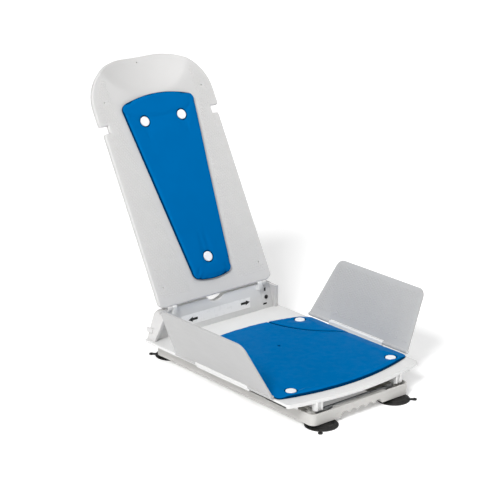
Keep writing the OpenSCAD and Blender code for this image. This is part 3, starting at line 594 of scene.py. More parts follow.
@dataclass
class Studio:
    """Camera, light and floor."""

    eye: Triple = (-2.51265, -2.87864, 1.58182)
    target: Triple = (-0.00001, 0.10314, 0.28116)
    lens: float = 128.7
    sight: float = 200.0
    box_place: Triple = (0.2, -0.9, 2.6)
    box_target: Triple = (0.0, 0.0, 0.2)
    box_size: float = 1.8
    box_watts: float = 9.0
    floor_half: float = 30.0
    floor_cloud: float = 0.8
    floor_tones: Point = (0.965, 0.98)
    floor_roughness: float = 0.9
    floor_glow: float = 0.2
    backdrop: float = 0.95
    backdrop_top: float = 0.14
    horizon: float = 0.2
    sky_foot: float = 0.2
    zenith: float = 0.42
    black_point: float = 0.012

    def build(self) -> None:
        """Makes the camera, the lights and the floor."""
        self.camera()
        self.sun(source=(-0.9, -0.45, 0.85), strength=2.15, spread=16)
        self.sun(source=(0.1, 0.1, 1.0), strength=0.55, spread=45)
        self.softbox()
        self.world()
        self.floor()

    def aimed(self, name: str, data: bpy.types.ID, place: Triple, target: Triple) -> bpy.types.Object:
        """Puts a camera or a lamp at a place and turns it to a point.

        Args:
            name: the object's name.
            data: the camera or the lamp.
            place: where it hangs.
            target: the point that it faces.

        Returns:
            The object.
        """
        made = put(name, data)
        made.location = place
        made.rotation_euler = (Vector(target) - Vector(place)).to_track_quat("-Z", "Y").to_euler()
        return made

    def camera(self) -> None:
        """The camera at the photograph's place."""
        data = bpy.data.cameras.new("camera")
        data.lens = self.lens
        data.clip_end = self.sight
        bpy.context.scene.camera = self.aimed("camera", data, self.eye, self.target)

    def sun(self, source: Triple, strength: float, spread: float) -> None:
        """A broad even light from far away.

        Args:
            source: the direction that it comes from.
            strength: its strength.
            spread: how many degrees of the sky it fills.
        """
        data = bpy.data.lights.new("sky_panel", "SUN")
        data.energy = strength
        data.angle = math.radians(spread)
        put("sky_panel", data).rotation_euler = Vector(source).to_track_quat("Z", "Y").to_euler()

    def softbox(self) -> None:
        """A square area light over the lift."""
        data = bpy.data.lights.new("overhead", "AREA")
        data.size = self.box_size
        data.energy = self.box_watts
        self.aimed("overhead", data, self.box_place, self.box_target)

    def world(self) -> None:
        """A pale backdrop low down, a soft sky over it, and the picture's grade."""
        world = bpy.data.worlds.new("studio")
        world.use_nodes = True
        background = world.node_tree.nodes["Background"]
        place = world.node_tree.nodes.new("ShaderNodeTexCoord")
        split = world.node_tree.nodes.new("ShaderNodeSeparateXYZ")
        ramp = world.node_tree.nodes.new("ShaderNodeValToRGB")
        stops = ((0.0, self.backdrop), (self.backdrop_top, self.backdrop), (self.sky_foot, self.horizon),
                 (1.0, self.zenith))
        while len(ramp.color_ramp.elements) < len(stops):
            ramp.color_ramp.elements.new(0.5)
        for element, (height, level) in zip(ramp.color_ramp.elements, stops):
            element.position, element.color = height, (level, level, level, 1)
        world.node_tree.links.new(place.outputs["Generated"], split.inputs["Vector"])
        world.node_tree.links.new(split.outputs["Z"], ramp.inputs["Fac"])
        world.node_tree.links.new(ramp.outputs["Color"], background.inputs["Color"])
        bpy.context.scene.world = world
        grade = bpy.context.scene.view_settings
        grade.view_transform = "Standard"
        grade.use_curve_mapping = True
        grade.curve_mapping.black_level = (self.black_point,) * 3
        grade.curve_mapping.update()

    def floor(self) -> None:
        """A wide pale floor."""
        bm = bmesh.new()
        bmesh.ops.create_grid(bm, x_segments=1, y_segments=1, size=self.floor_half)
        floor = put("floor", filled("floor", bm))
        paint = Shader("floor_paint")
        dark, light = ((tone,) * 3 for tone in self.floor_tones)
        paint.feed(paint.tint(paint.noise(Cloud(self.floor_cloud)), dark, light), "Base Color")
        paint.surface.inputs["Roughness"].default_value = self.floor_roughness
        paint.surface.inputs["Emission Color"].default_value = (1, 1, 1, 1)
        paint.surface.inputs["Emission Strength"].default_value = self.floor_glow
        floor.data.materials.append(paint.material)


@dataclass
class Backrest:
    """The reclining panel with its dished head part, its ribs and its grip dots."""

    hinge: Vector
    pad: Pad
    recline: float = math.radians(28.5)
    hinge_drop: float = 7 * MM
    hinge_out: float = 6 * MM
    width: float = 334 * MM
    head_width: float = 348 * MM
    length: float = 597 * MM
    wall: float = 3 * MM
    corner: float = 25 * MM
    corner_steps: int = 8
    dish_half: float = 132 * MM
    dish_reach: float = 97 * MM
    dish_depth: float = 28 * MM
    dish_blend: float = 2.5 * MM
    notch_at: float = 436 * MM
    notch_height: float = 20 * MM
    notch_depth: float = 17 * MM
    head_at: float = 486 * MM
    head_steps: int = 16
    top_flat: float = 40 * MM
    cell: float = 5 * MM
    rim_round: float = 3.5 * MM
    rim_depth: float = 9 * MM
    rib_low: float = 0.06
    rib_high: float = 0.66
    rib_places: tuple[float, ...] = (-0.33, -0.09, 0.09, 0.33)
    rib_wall: float = 3 * MM
    rib_depth: float = 7 * MM
    rib_round: float = 0.7 * MM
    dot_start: float = 22 * MM
    dot_margin: float = 10 * MM
    dot_clear: float = 16 * MM
    notch_clear: float = 4 * MM
    hole_clear: float = 8 * MM
    dish_clear: float = 1.12
    hole_radius: float = 2.5 * MM
    hole_round: float = 0.6 * MM
    hole_depth: float = 5 * MM
    hole_places: tuple[Point, ...] = ((-145 * MM, 43 * MM), (145 * MM, 43 * MM), (-145 * MM, 498 * MM),
                                      (145 * MM, 498 * MM), (0.0, 587 * MM))

    @property
    def plane(self) -> Matrix:
        """Where the panel's plane lies: across, up along the panel, and towards the sitter."""
        turn = Matrix.Rotation(math.pi / 2 - self.recline, 4, "X")
        return Matrix.Translation(self.hinge) @ turn @ Matrix.Translation((0, self.hinge_drop, self.hinge_out))

    def outline(self) -> list[Point]:
        """The panel's outline at its head width.

        Returns:
            The outline's corners, anticlockwise.
        """
        half = self.head_width / 2
        low = [(half - self.corner + self.corner * math.sin(a), self.corner * (1 - math.cos(a)))
               for a in quarter(self.corner_steps)]
        top = [(self.top_flat + (half - self.top_flat) * math.cos(a),
                self.head_at + (self.length - self.head_at) * math.sin(a)) for a in quarter(self.head_steps)]
        right = low + top
        return right + [(-x, s) for x, s in reversed(right)]

    def dish(self, x: float, s: float) -> float:
        """Depth of the head dish at a point of the panel."""
        depth = self.dish_depth * (1 - self.dish_share(x, s))
        return (depth + math.hypot(depth, self.dish_blend)) / 2

    def dish_share(self, x: float, s: float) -> float:
        """How near a point of the panel is to the dish's border: 0 in the middle, 1 on it."""
        return (x / self.dish_half) ** 2 + ((self.length - s) / self.dish_reach) ** 2

    def ribs(self) -> None:
        """Makes the stiffening ribs behind the panel."""
        low, high = self.rib_low * self.length, self.rib_high * self.length
        bars = [(x * self.width, (low + high) / 2, self.rib_wall, high - low) for x in self.rib_places]
        bars += [(0.0, s, self.width, self.rib_wall) for s in (low, high)]
        bm = bmesh.new()
        for x, s, across, along in bars:
            add_box(bm, (x, s, -self.wall - self.rib_depth / 2), (across, along, self.rib_depth), self.plane)
        bevel(bm, bm.edges[:], self.rib_round, 2, clamp=False)
        dress("backrest_ribs", bm, "backrest", Finish.PANEL_PLASTIC)

    def dot_free(self, x: float, s: float) -> bool:
        """Tells whether a grip dot may stand at a point of the panel.

        Args:
            x: how far across the point lies.
            s: how far up along the panel it lies.

        Returns:
            Whether the place is free.
        """
        half = (self.width if s < self.notch_at else self.head_width) / 2 - self.dot_margin
        if s > self.head_at:
            fall = (s - self.head_at) / (self.length - self.dot_margin - self.head_at)
            half = self.top_flat + (half - self.top_flat) * math.sqrt(max(0.0, 1 - fall * fall))
        notch = (abs(s - self.notch_at) < self.notch_height / 2 + self.notch_clear
                 and abs(x) > half - self.notch_depth - self.notch_clear)
        hole = any(math.hypot(x - hx, s - hs) < self.hole_clear for hx, hs in self.hole_places)
        return (self.pad.half_at(s) + self.dot_clear < abs(x) < half and not notch and not hole
                and self.dish_share(x, s) > self.dish_clear)

    def grip(self) -> None:
        """Makes the small raised dots beside the pad."""
        half = self.head_width / 2
        dots = GripDots().build((-half, self.dot_start), (half, self.length), self.dot_free, self.plane)
        dress("backrest_grip_dots", dots, "backrest", Finish.PANEL_PLASTIC)

    def skin(self) -> BMesh:
        """The panel's front face with its notches, holes and dish.

        Returns:
            The face, in the panel's own plane.
        """
        half, head = self.width / 2, self.head_width / 2
        low, high = self.notch_at - self.notch_height / 2, self.notch_at + self.notch_height / 2
        bm = flat_grid((-head, 0), (head, self.length), self.cell)
        cut_outline(bm, self.outline())
        for level in (low, high):
            bmesh.ops.bisect_plane(bm, geom=bm.verts[:] + bm.edges[:] + bm.faces[:], dist=WELD,
                                   plane_co=(0, level, 0), plane_no=(0, 1, 0))
        for side in (-1, 1):
            for edge_x, bottom, top in ((half, 0, low), (half - self.notch_depth, low, high)):
                faces = [f for f in bm.faces if bottom < f.calc_center_median().y < top]
                geom = list({v for f in faces for v in f.verts} | {e for f in faces for e in f.edges}) + faces
                bmesh.ops.bisect_plane(bm, geom=geom, dist=WELD, plane_co=(side * edge_x, 0, 0),
                                       plane_no=(side, 0, 0), clear_outer=True)
        for x, s in self.hole_places:
            self.pierce(bm, Vector((x, s, 0)))
        for vert in bm.verts:
            vert.co.z = -self.dish(vert.co.x, vert.co.y)
        bm.normal_update()
        return bm

    def pierce(self, bm: BMesh, centre: Vector) -> None:
        """Opens a round hole about a point of the flat skin.

        Args:
            bm: the skin.
            centre: the hole's middle.
        """
        middle = min(bm.verts, key=lambda v: (v.co - centre).length)
        ring = {v for f in middle.link_faces for v in f.verts} - {middle}
        bmesh.ops.delete(bm, geom=[middle], context="VERTS")
        for vert in ring:
            centroid = sum((v.co for v in ring), Vector()) / len(ring)
            vert.co = centre + (vert.co - centroid).normalized() * self.hole_radius

    def build(self) -> None:
        """Makes the panel, its ribs and its grip dots."""
        bm = self.skin()
        border = [e for e in bm.edges if e.is_boundary]
        holes = [e for e in border if any((e.verts[0].co.xy - Vector(p)).length < 2 * self.hole_radius
                                          for p in self.hole_places)]
        rim = [e for e in border if e not in set(holes)]
        roll_edges(bm, rim, arc(self.rim_round, 5) + [(self.rim_round, self.rim_depth)])
        roll_edges(bm, holes, arc(self.hole_round, 3) + [(self.hole_round, self.hole_depth)])
        bmesh.ops.recalc_face_normals(bm, faces=bm.faces)
        bmesh.ops.transform(bm, matrix=self.plane, verts=bm.verts)
        panel = dress("backrest_panel_shell", bm, "backrest", Finish.PANEL_PLASTIC, ("backrest_panel",))
        wall = panel.modifiers.new("wall", "SOLIDIFY")
        wall.thickness = self.wall
        wall.offset = -1
        self.ribs()
        self.grip()


@dataclass
class Pad:
    """A crowned soft pad: rounded borders, drawn-in foot, button seats, dimples and channels."""

    name: str
    node: str
    body: str
    low_width: float
    high_width: float
    low: float
    high: float
    low_bow: float
    high_bow: float
    buttons: tuple[Point, ...]
    channels: tuple[Triple, ...] = ()
    dimples: tuple[Point, ...] = ()
    corner: float = 16 * MM
    corner_steps: int = 9
    bow_steps: int = 16
    height: float = 8.5 * MM
    border: float = 3.4 * MM
    draw_in: float = 1.6 * MM
    foot_steps: tuple[Point, ...] = ((0, 0.5), (0.5, 0.7), (1, 1))
    foot_zone: float = 1 * MM
    cell: float = 4 * MM
    weld: float = 0.4 * MM
    fine_zones: Point = (6 * MM, 3.5 * MM)
    pressure: float = 4.0
    stiffness: float = 25.0
    swell_cap: float = 2.0 * MM
    frames: int = 20
    button_radius: float = 12 * MM
    button_rise: float = 0.4 * MM
    button_sink: float = 3.4 * MM
    seat_gap: float = 0.6 * MM
    seat_width: float = 3.4 * MM
    pucker_width: float = 9 * MM
    pucker_depth: float = 0.5 * MM
    stem_radius: float = 4 * MM
    stem_length: float = 7 * MM
    channel_width: float = 5.0 * MM
    channel_depth: float = 3.4 * MM
    dimple_zone: float = 5 * MM
    dimple_radius: float = 2.0 * MM
    dimple_slope: float = 2.6 * MM
    dimple_depth: float = 4.5 * MM
    wall_start: float = 1.0 * MM
    wall_blend: float = 1.2 * MM
    seam_start: float = 0.5 * MM
    seam_blend: float = 1.0 * MM
    side_drop: float = 0.0
    side_run: float = 36 * MM

    def outline(self, inset: float) -> list[Point]:
        """The pad's outline moved inwards, anticlockwise.

        Args:
            inset: how far inside the true outline it runs.

        Returns:
            The outline's corners.
        """
        lean = math.atan2((self.high_width - self.low_width) / 2, self.high - self.low)
        low = self.end_curve(self.low_width / 2, self.low_bow, inset, lean)
        high = self.end_curve(self.high_width / 2, self.high_bow, inset, -lean)
        return [(x, self.low + y) for x, y in low] + [(-x, self.high - y) for x, y in high]

    def end_curve(self, half: float, bow: float, inset: float, lean: float) -> list[Point]:
        """One bowed end of the outline with its two corners, from left to right.

        Args:
            half: half of the width there.
            bow: how far the middle stands out.
            inset: how far inside the true outline it runs.
            lean: how far the sides lean outwards.

        Returns:
            The end's points, measured from the level of its corners.
        """
        flat = half - self.corner * (1 - math.sin(math.atan2(2 * bow, half - self.corner)))
        slope = math.atan2(2 * bow, flat)
        turns = [lean + (math.pi / 2 - slope - lean) * i / self.corner_steps for i in range(self.corner_steps + 1)]
        middle = Vector((self.corner * math.sin(slope) - flat, self.corner * math.cos(slope)))
        left = [(middle.x - (self.corner - inset) * math.cos(a), middle.y - (self.corner - inset) * math.sin(a))
                for a in turns]
        edge = []
        for i in range(1, self.bow_steps):
            t = 2 * i / self.bow_steps - 1
            inward = Vector((-2 * bow * t / flat, 1)).normalized() * inset
            edge.append((t * flat + inward.x, bow * (t * t - 1) + inward.y))
        return left + edge + [(-x, y) for x, y in reversed(left)]

    def half_at(self, level: float) -> float:
        """Half of the pad's width at a level."""
        share = min(1.0, max(0.0, (level - self.low) / (self.high - self.low)))
        return (self.low_width + (self.high_width - self.low_width) * share) / 2

    def blank(self) -> BMesh:
        """The pad before it swells.

        Returns:
            A flat top with a rolled border and a closed foot.
        """
        inner = self.outline(self.border)
        xs, ys = [p[0] for p in inner], [p[1] for p in inner]
        bm = flat_grid((min(xs), min(ys)), (max(xs), max(ys)), self.cell)
        cut_outline(bm, inner)
        bmesh.ops.remove_doubles(bm, verts=bm.verts, dist=self.weld)
        bmesh.ops.translate(bm, vec=(0, 0, self.height), verts=bm.verts)
        border = [e for e in bm.edges if e.is_boundary]
        side = [(self.border - self.draw_in * share, self.height * level) for share, level in self.foot_steps]
        foot = roll_edges(bm, border, arc(self.border, 5) + side)
        bmesh.ops.contextual_create(bm, geom=foot)
        bmesh.ops.recalc_face_normals(bm, faces=bm.faces)
        return bm

    def swell(self, bm: BMesh) -> BMesh:
        """Lets the pad's skin swell like stuffed cloth, held at its foot and under its buttons.

        Args:
            bm: the blank, which is freed.

        Returns:
            The swollen pad.
        """
        mesh = filled("blank", bm)
        cloth = put("blank", mesh)
        scene = bpy.context.scene
        rest = [v.co.copy() for v in mesh.vertices]
        held = [i for i, p in enumerate(rest) if p.z < self.foot_zone / 2
                or any((p.xy - Vector(b)).length < self.button_radius for b in self.buttons)]
        cloth.vertex_groups.new(name="held").add(held, 1.0, "REPLACE")
        modifier = cloth.modifiers.new("cloth", "CLOTH")
        settings = modifier.settings
        settings.use_pressure = True
        settings.uniform_pressure_force = self.pressure
        settings.vertex_group_mass = "held"
        settings.tension_stiffness = settings.compression_stiffness = self.stiffness
        settings.effector_weights.gravity = 0
        modifier.point_cache.frame_start = 1
        modifier.point_cache.frame_end = self.frames
        for frame in range(1, self.frames + 1):
            scene.frame_set(frame)
        done = cloth.evaluated_get(bpy.context.evaluated_depsgraph_get()).to_mesh()
        for vertex, start, end in zip(mesh.vertices, rest, [v.co.copy() for v in done.vertices]):
            move = end - start
            vertex.co = start + move * min(1.0, self.swell_cap / max(move.length, WELD))
        cloth.evaluated_get(bpy.context.evaluated_depsgraph_get()).to_mesh_clear()
        scene.frame_set(1)
        swollen = bmesh.new()
        swollen.from_mesh(mesh)
        bpy.data.objects.remove(cloth)
        bpy.data.meshes.remove(mesh)
        return swollen

    def carve(self, bm: BMesh) -> None:
        """Presses the channels, the dimples and the button seats into the top.

        Args:
            bm: the pad.
        """
        for zone in self.fine_zones:
            near = [e for e in bm.edges if all(self.feature_gap(v.co) < zone for v in e.verts)
                    and len(e.link_faces) == 2 and min(v.co.z for v in e.verts) > self.height / 2]
            bmesh.ops.subdivide_edges(bm, edges=near, cuts=1, use_grid_fill=True)
        for vert in bm.verts:
            if vert.co.z > self.height / 2:
                vert.co.z -= self.press(vert.co)

    def feature_gap(self, place: Vector) -> float:
        """Distance from a point to the nearest channel, dimple or button seat."""
        gaps = [abs((place.xy - Vector((x, y))).length - r) for x, y, r in self.channels]
        gaps += [abs((place.xy - Vector(b)).length - self.button_radius) for b in self.buttons]
        gaps += [max(0.0, (place.xy - Vector(d)).length - self.dimple_zone) for d in self.dimples]
        return min(gaps)

    def press(self, place: Vector) -> float:
        """How far the top is pressed down at a point.

        Args:
            place: the point.

        Returns:
            The depth of the deepest dent there.
        """
        dents = [(self.channel_depth, abs((place.xy - Vector((x, y))).length - r) / self.channel_width)
                 for x, y, r in self.channels]
        for button in self.buttons:
            gap = (place.xy - Vector(button)).length - self.button_radius - self.seat_gap
            dents += [(self.button_sink, gap / self.seat_width), (self.pucker_depth, gap / self.pucker_width)]
        for dimple in self.dimples:
            gap = (place.xy - Vector(dimple)).length - self.dimple_radius
            dents.append((self.dimple_depth, gap / self.dimple_slope))
        return max(depth * (1 - smooth_step(run)) for depth, run in dents)

    def build(self, plane: Matrix) -> None:
        """Makes the pad and its buttons.

        Args:
            plane: where the pad's foot lies.
        """
        bm = self.blank()
        bm = self.swell(bm)
        top = [e for e in bm.edges if min(v.co.z for v in e.verts) > self.foot_zone]
        bmesh.ops.subdivide_edges(bm, edges=top, cuts=1, smooth=0.4, use_grid_fill=True)
        self.carve(bm)
        # Painted shade: the mask rises on the side wall below the top edge and in the pressed channels, dimples and
        # button seats, where shade falls.
        shade_mask = bm.verts.layers.float.new(PAINTED_SHADE_LAYER)
        for vert in bm.verts:
            wall = (self.height - vert.co.z - self.wall_start) / self.wall_blend
            seam = (self.press(vert.co) - self.seam_start) / self.seam_blend
            vert[shade_mask] = smooth_step(max(wall, seam))
            side = 1 - (self.half_at(vert.co.y) - abs(vert.co.x)) / self.side_run
            vert.co.z *= 1 - self.side_drop / self.height * smooth_step(side)
        bmesh.ops.transform(bm, matrix=plane, verts=bm.verts)
        pad = dress(self.name, bm, self.body, Finish.BLUE_PAD, (self.node,), crease=70)
        self.press_buttons(plane)

    def press_buttons(self, plane: Matrix) -> None:
        """Makes the press buttons that hold the pad down.

        Args:
            plane: where the pad's foot lies.
        """
        r, stem, end = self.button_radius, self.stem_radius, -self.stem_length
        low, top = self.height - self.button_sink + 0.2 * MM, self.height + self.button_rise
        button = lathe([(0, top - 0.35 * MM), (r * 0.45, top - 0.3 * MM), (r * 0.72, top), (r - 1.1 * MM, top),
                        (r - 0.4 * MM, top - 0.3 * MM), (r, top - 1.0 * MM), (r, low), (stem, low),
                        (stem, end + 1 * MM), (stem - 1 * MM, end), (0, end)])
        bm = bmesh.new()
        for x, y in self.buttons:
            join(bm, button, plane @ Matrix.Translation((x, y, 0)))
        button.free()
        dress(f"{self.name}_buttons", bm, self.body, Finish.BUTTON_PLASTIC, (f"{self.node}_buttons",))


@dataclass
class Flap:
    """A side flap with a grip face towards the sitter."""

    side: Side
    hinge: Vector
    node: bpy.types.Object
    angle: float = math.radians(62)
    height: float = 148 * MM
    front: float = -212 * MM
    rear: float = 121 * MM
    front_taper: float = 18 * MM
    rear_taper: float = 32 * MM
    half_wall: float = 2 * MM
    edge_round: float = 1.4 * MM
    margin: float = 9 * MM
    foot: float = 20 * MM
    corner_start: float = 24 * MM
    corner_run: float = 20 * MM
    corner_inset: float = 7 * MM

    def face(self) -> Matrix:
        """Where the flap's inner face lies: up along the flap, to the rear, and towards the sitter."""
        up = Vector((math.cos(self.angle), 0, math.sin(self.angle)))
        inward = Vector((-math.sin(self.angle), 0, math.cos(self.angle)))
        axes = Matrix((up, (0, 1, 0), inward)).transposed().to_4x4()
        place = Vector((abs(self.hinge.x), 0, self.hinge.z)) + inward * self.half_wall
        return self.side.mirror @ Matrix.Translation(place) @ axes

    def dot_free(self, up: float, along: float) -> bool:
        """Tells whether a grip dot may stand at a point of the face.

        Args:
            up: how far up along the flap the point lies.
            along: how far to the rear it lies.

        Returns:
            Whether the place is free.
        """
        share = up / self.height
        corner = smooth_step((up - self.height + self.corner_start) / self.corner_run) * self.corner_inset
        return (self.front + self.front_taper * share + self.margin + corner < along
                < self.rear - self.rear_taper * share - self.margin - corner)

    def build(self) -> None:
        """Makes the flap's plate and its grip dots."""
        body = f"flap_{self.side.word}"
        dress(f"{body}_plate", softened(self.node, self.edge_round, 3), body, Finish.FLAP_PLASTIC, (body,))
        dots = GripDots().build((self.foot, self.front), (self.height - self.margin, self.rear), self.dot_free,
                                self.face())
        dress(f"{body}_grip_dots", dots, body, Finish.FLAP_PLASTIC)


@dataclass
class RearBlock:
    """The block behind the seat: end caps with their side wings, latches, the plain arrows on its front, and dark
    boxes painted in as the shade of two slots.
    """

    nodes: dict[str, bpy.types.Object]
    edge_round: float = 1.4 * MM
    cap_round: float = 1.6 * MM
    cap_foot: float = 190 * MM
    cap_low: float = 66 * MM
    shoulder: Point = (160 * MM, 119 * MM)
    shoulder_round: float = 16 * MM
    shoulder_turn: float = math.radians(20)
    shoulder_steps: range = range(0, 25, 5)
    wing_wall: float = 9 * MM
    wing_rear: float = 233 * MM
    wing_reach: float = 222 * MM
    wing_lean: float = -0.3
    wing_proud: float = 0.15 * MM
    wing_round: float = 2.2 * MM
    latch_round: float = 1 * MM
    latch_end: float = 6 * MM
    latch_trim: float = 3 * MM
    mark_depth: float = 0.3 * MM
    mark_round: float = 0.25 * MM
    arrow: tuple[Point, ...] = ((0, -3 * MM), (15 * MM, -3 * MM), (15 * MM, -6.2 * MM), (28 * MM, 0),
                                (15 * MM, 6.2 * MM), (15 * MM, 3 * MM), (0, 3 * MM))
    arrow_tails: tuple[Point, ...] = ((57 * MM, 93 * MM), (76 * MM, 95.5 * MM))
    slot_places: tuple[Point, ...] = ((152 * MM, 116 * MM), (153 * MM, 79 * MM))
    slot_sizes: tuple[Point, ...] = ((5 * MM, 9 * MM), (11 * MM, 4.5 * MM))

    def build(self) -> None:
        """Makes the block, its caps, the latches, the arrows, and the painted shade of the slots."""
        dress("rear_block_shell", softened(self.nodes["rear_block"], self.edge_round), "seat",
              Finish.WHITE_PLASTIC, ("rear_block",))
        for side in Side:
            name = f"end_cap_{side.word}"
            bm = softened(self.nodes[name], self.cap_round, 3)
            wing = self.wing()
            join(bm, wing, side.mirror)
            wing.free()
            dress(f"{name}_shell", bm, "seat", Finish.PANEL_PLASTIC, (name,))
            self.latch(side)
        self.arrows(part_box("label_plate")[0].y)
        self.marks(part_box("control_inlet")[1].y)

    def latch(self, side: Side) -> None:
        """Makes a release latch whose end lies nearly flush with the cap.

        Args:
            side: the side that it sits on.
        """
        name = f"latch_{side.word}"
        bm = softened(self.nodes[name], self.latch_round)
        reach = max(abs(v.co.x) for v in bm.verts)
        for vert in bm.verts:
            if abs(vert.co.x) > reach - self.latch_end:
                vert.co.x -= side.value * self.latch_trim
        dress(f"{name}_bar", bm, name, Finish.PANEL_PLASTIC, (name,))

    def wing(self) -> BMesh:
        """The sloped wall in front of an end cap.

        Returns:
            The wall, on the right-hand side.
        """
        bm = bmesh.new()
        radius = self.shoulder_round + self.wing_proud
        turns = [self.shoulder_turn + math.radians(step) for step in self.shoulder_steps]
        outer = [(self.cap_foot + self.wing_proud, self.cap_low)]
        outer += [(self.shoulder[0] + radius * math.cos(a), self.shoulder[1] + radius * math.sin(a)) for a in turns]
        inner = [(x - self.wing_wall, z) for x, z in reversed(outer)]
        face = bm.faces.new([bm.verts.new((x, self.wing_rear, z)) for x, z in outer + inner])
        for vert in extruded(bm, [face]):
            vert.co.y = self.wing_reach + self.wing_lean * (vert.co.z - self.cap_low)
        bmesh.ops.recalc_face_normals(bm, faces=bm.faces)
        bevel(bm, sharp_edges(bm), self.wing_round, 3)
        return bm

    def arrows(self, front: float) -> None:
        """Makes two plain arrows that point outwards.

        Args:
            front: where the label's face lies.
        """
        bm = bmesh.new()
        for side, (tail, level) in zip(Side, self.arrow_tails):
            verts = [bm.verts.new((side.value * (tail + x), front, level + z)) for x, z in self.arrow]
            bmesh.ops.translate(bm, vec=(0, -self.mark_depth, 0), verts=extruded(bm, [bm.faces.new(verts)]))
        bmesh.ops.recalc_face_normals(bm, faces=bm.faces)
        dress("label_arrows", bm, "seat", Finish.BLACK_RUBBER)

    def marks(self, front: float) -> None:
        """Makes two dark boxes over and under the inlet: painted shade where the block's small slots open.

        Args:
            front: where the block's face lies.
        """
        bm = bmesh.new()
        # Each black box is painted shade standing in for a slot's opening.
        for (x, z), (width, height) in zip(self.slot_places, self.slot_sizes):
            add_box(bm, (x, front, z), (width, 2 * self.mark_depth, height))
        bevel(bm, bm.edges[:], self.mark_round, 2, clamp=False)
        dress("block_marks", bm, "seat", Finish.BLACK_RUBBER)


@dataclass
class SuctionCup:
    """A suction cup with a ridged top and a pull tab with an eye."""

    name: str
    turn: float
    place: Vector
    radius: float = 38 * MM
    height: float = 10 * MM
    tab_width: float = 11 * MM
    tab_length: float = 15 * MM
    tab_wall: float = 3 * MM
    tab_lift: float = 0.2 * MM
    tab_round: float = 0.7 * MM
    eye_facets: int = 24
    bore_share: float = 0.24
    neck_share: float = 0.7
    neck_lap: float = 5 * MM
    eye_lap: float = 0.8

    def build(self) -> None:
        """Makes the cup."""
        r, h = self.radius, self.height
        profile = [(0, 3.4 * MM), (r * 0.4, 2.8 * MM), (r - 4 * MM, 0.5 * MM), (r - 1.2 * MM, 0),
                   (r - 0.2 * MM, 0.3 * MM), (r, 1.1 * MM), (r - 0.5 * MM, 2.2 * MM), (r - 2 * MM, 2.7 * MM),
                   (r * 0.80, 3.4 * MM), (r * 0.74, 4.4 * MM), (r * 0.70, 4.6 * MM), (r * 0.66, 4.4 * MM),
                   (r * 0.52, 5.6 * MM), (r * 0.46, 6.8 * MM), (r * 0.42, 7.0 * MM), (r * 0.38, 6.9 * MM),
                   (r * 0.25, h - 1.2 * MM), (r * 0.21, h), (5 * MM, h + 1 * MM), (5 * MM, h + 4 * MM),
                   (0, h + 4 * MM)]
        bm = lathe(profile, 64)
        spot = Matrix.Translation(self.place) @ Matrix.Rotation(self.turn, 4, "Z")
        bmesh.ops.transform(bm, matrix=spot, verts=bm.verts)
        tab = self.tab()
        join(bm, tab, spot)
        tab.free()
        dress(f"{self.name}_moulding", bm, "base", Finish.BLACK_RUBBER, (self.name,))

    def tab(self) -> BMesh:
        """The pull tab.

        Returns:
            A rounded tongue that ends in an eye.
        """
        eye, bore = self.tab_width / 2, self.tab_width * self.bore_share
        centre = self.radius + self.tab_length - eye
        end = centre - eye * self.eye_lap
        bm = bmesh.new()
        outer = bmesh.ops.create_circle(bm, segments=self.eye_facets, radius=eye)["verts"]
        inner = bmesh.ops.create_circle(bm, segments=self.eye_facets, radius=bore)["verts"]
        rings = [[e for e in bm.edges if e.verts[0] in ring] for ring in (set(outer), set(inner))]
        bmesh.ops.bridge_loops(bm, edges=rings[0] + rings[1])
        bmesh.ops.translate(bm, vec=(centre, 0, 0), verts=bm.verts)
        size = Matrix.Diagonal((end - self.radius + self.neck_lap, self.tab_width * self.neck_share, 1, 1))
        place = Matrix.Translation(((end + self.radius - self.neck_lap) / 2, 0, 0))
        bmesh.ops.create_grid(bm, x_segments=2, y_segments=1, size=0.5, matrix=place @ size)
        bmesh.ops.translate(bm, vec=(0, 0, self.tab_wall), verts=extruded(bm, bm.faces[:]))
        bmesh.ops.recalc_face_normals(bm, faces=bm.faces)
        bevel(bm, sharp_edges(bm, 50), self.tab_round, 2)
        bmesh.ops.translate(bm, vec=(0, 0, self.tab_lift), verts=bm.verts)
        return bm


@dataclass
class Base:
    """The base tray on its four suction cups."""

    nodes: dict[str, bpy.types.Object]
    edge_round: float = 1.3 * MM
    cup_across: float = 108.5 * MM
    cup_along: float = 265 * MM

    def build(self) -> None:
        """Makes the cups and the tray."""
        for end, along in (("front", -self.cup_along), ("rear", self.cup_along)):
            for side in Side:
                SuctionCup(f"suction_cup_{end}_{side.word}", math.atan2(along, side.value * self.cup_along),
                           Vector((side.value * self.cup_across, along, 0))).build()
        dress("base_tray_shell", softened(self.nodes["base_tray"], self.edge_round, 3), "base",
              Finish.IVORY_PLASTIC, ("base_tray",))


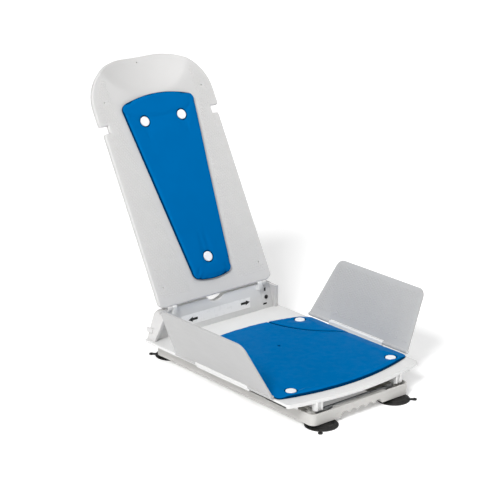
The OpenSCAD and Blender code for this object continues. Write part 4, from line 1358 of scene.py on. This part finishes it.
@dataclass
class SeatDeck:
    """The seat's deck, and the two feet under its front lip that sit over the base's front wall."""

    nodes: dict[str, bpy.types.Object]
    edge_round: float = 1.6 * MM
    corner_round: float = 12 * MM
    corner_across: float = 194 * MM
    corner_front: float = -250 * MM
    corner_rear: float = 248 * MM
    upright_share: float = 0.9
    foot_round: float = 1.4 * MM
    foot_blocks: tuple[tuple[Triple, Triple], ...] = (
        ((119 * MM, -262 * MM, 47.5 * MM), (20 * MM, 11 * MM, 23 * MM)),
        ((112 * MM, -269 * MM, 48.5 * MM), (4 * MM, 6 * MM, 21 * MM)),
        ((126 * MM, -269 * MM, 48.5 * MM), (4 * MM, 6 * MM, 21 * MM)))

    def corner(self, edge: BMEdge) -> bool:
        """Whether an edge is an upright one at a corner of the deck."""
        a, b = (v.co for v in edge.verts)
        upright = abs(a.z - b.z) > self.upright_share * (a - b).length
        return upright and abs(a.x) > self.corner_across and (a.y < self.corner_front or a.y > self.corner_rear)

    def build(self) -> None:
        """Makes the feet and the deck."""
        feet = bmesh.new()
        for side in Side:
            for (x, y, z), size in self.foot_blocks:
                add_box(feet, (side.value * x, y, z), size)
        bevel(feet, feet.edges[:], self.foot_round, 3, clamp=False)
        dress("seat_rest_feet", feet, "seat", Finish.WHITE_PLASTIC)
        deck = softened(self.nodes["seat_deck"], self.edge_round, 3, self.corner, self.corner_round)
        dress("seat_deck_shell", deck, "seat", Finish.WHITE_PLASTIC, ("seat_deck",))


def frame_finishes(frame: dict) -> None:
    """Gives every node of the frame the material of its slot.

    Args:
        frame: the loaded frame.
    """
    for part in frame["record"]["subparts"]:
        node = frame["nodes"][part["node"]]
        node.data.materials.clear()
        node.data.materials.append(Finish[part["material_slot"].upper()].material())


def joint_place(frame: dict, name: str) -> Vector:
    """Where a joint of the frame lies."""
    return Vector(next(j["pos_m"] for j in frame["joints"] if j["name"] == name))


def main() -> None:
    """Builds the lift's pieces in order."""
    logging.basicConfig(level=logging.INFO, format="%(message)s")
    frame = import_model()
    Studio().build()
    frame_finishes(frame)

    back_pad = Pad("backrest_cushion", "backrest_pad", "backrest", low_width=114 * MM, high_width=212 * MM,
                   low=40 * MM, high=484 * MM, low_bow=6 * MM, high_bow=15 * MM,
                   buttons=((-55 * MM, 435 * MM), (55 * MM, 435 * MM), (0.0, 87 * MM)))
    backrest = Backrest(joint_place(frame, "backrest_recline"), back_pad)
    backrest.build()
    back_pad.build(backrest.plane)

    deck = Matrix.Translation((0, 0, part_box("seat_pad")[0].z))
    Pad("seat_cushion", "seat_pad", "seat", low_width=388 * MM, high_width=388 * MM, low=-224 * MM, high=112 * MM,
        low_bow=30 * MM, high_bow=34 * MM, side_drop=4 * MM, dimples=((0.0, 0.0),),
        buttons=((-150 * MM, -212 * MM), (150 * MM, -212 * MM), (-154 * MM, 101 * MM), (154 * MM, 101 * MM)),
        channels=((-295 * MM, 155 * MM, 214 * MM), (295 * MM, 155 * MM, 214 * MM))).build(deck)

    for side in Side:
        name = f"flap_{side.word}"
        Flap(side, joint_place(frame, f"{name}_fold"), frame["nodes"][name]).build()
    for assembly in (RearBlock, Base, SeatDeck):
        assembly(frame["nodes"]).build()


if __name__ == "__main__":
    main()
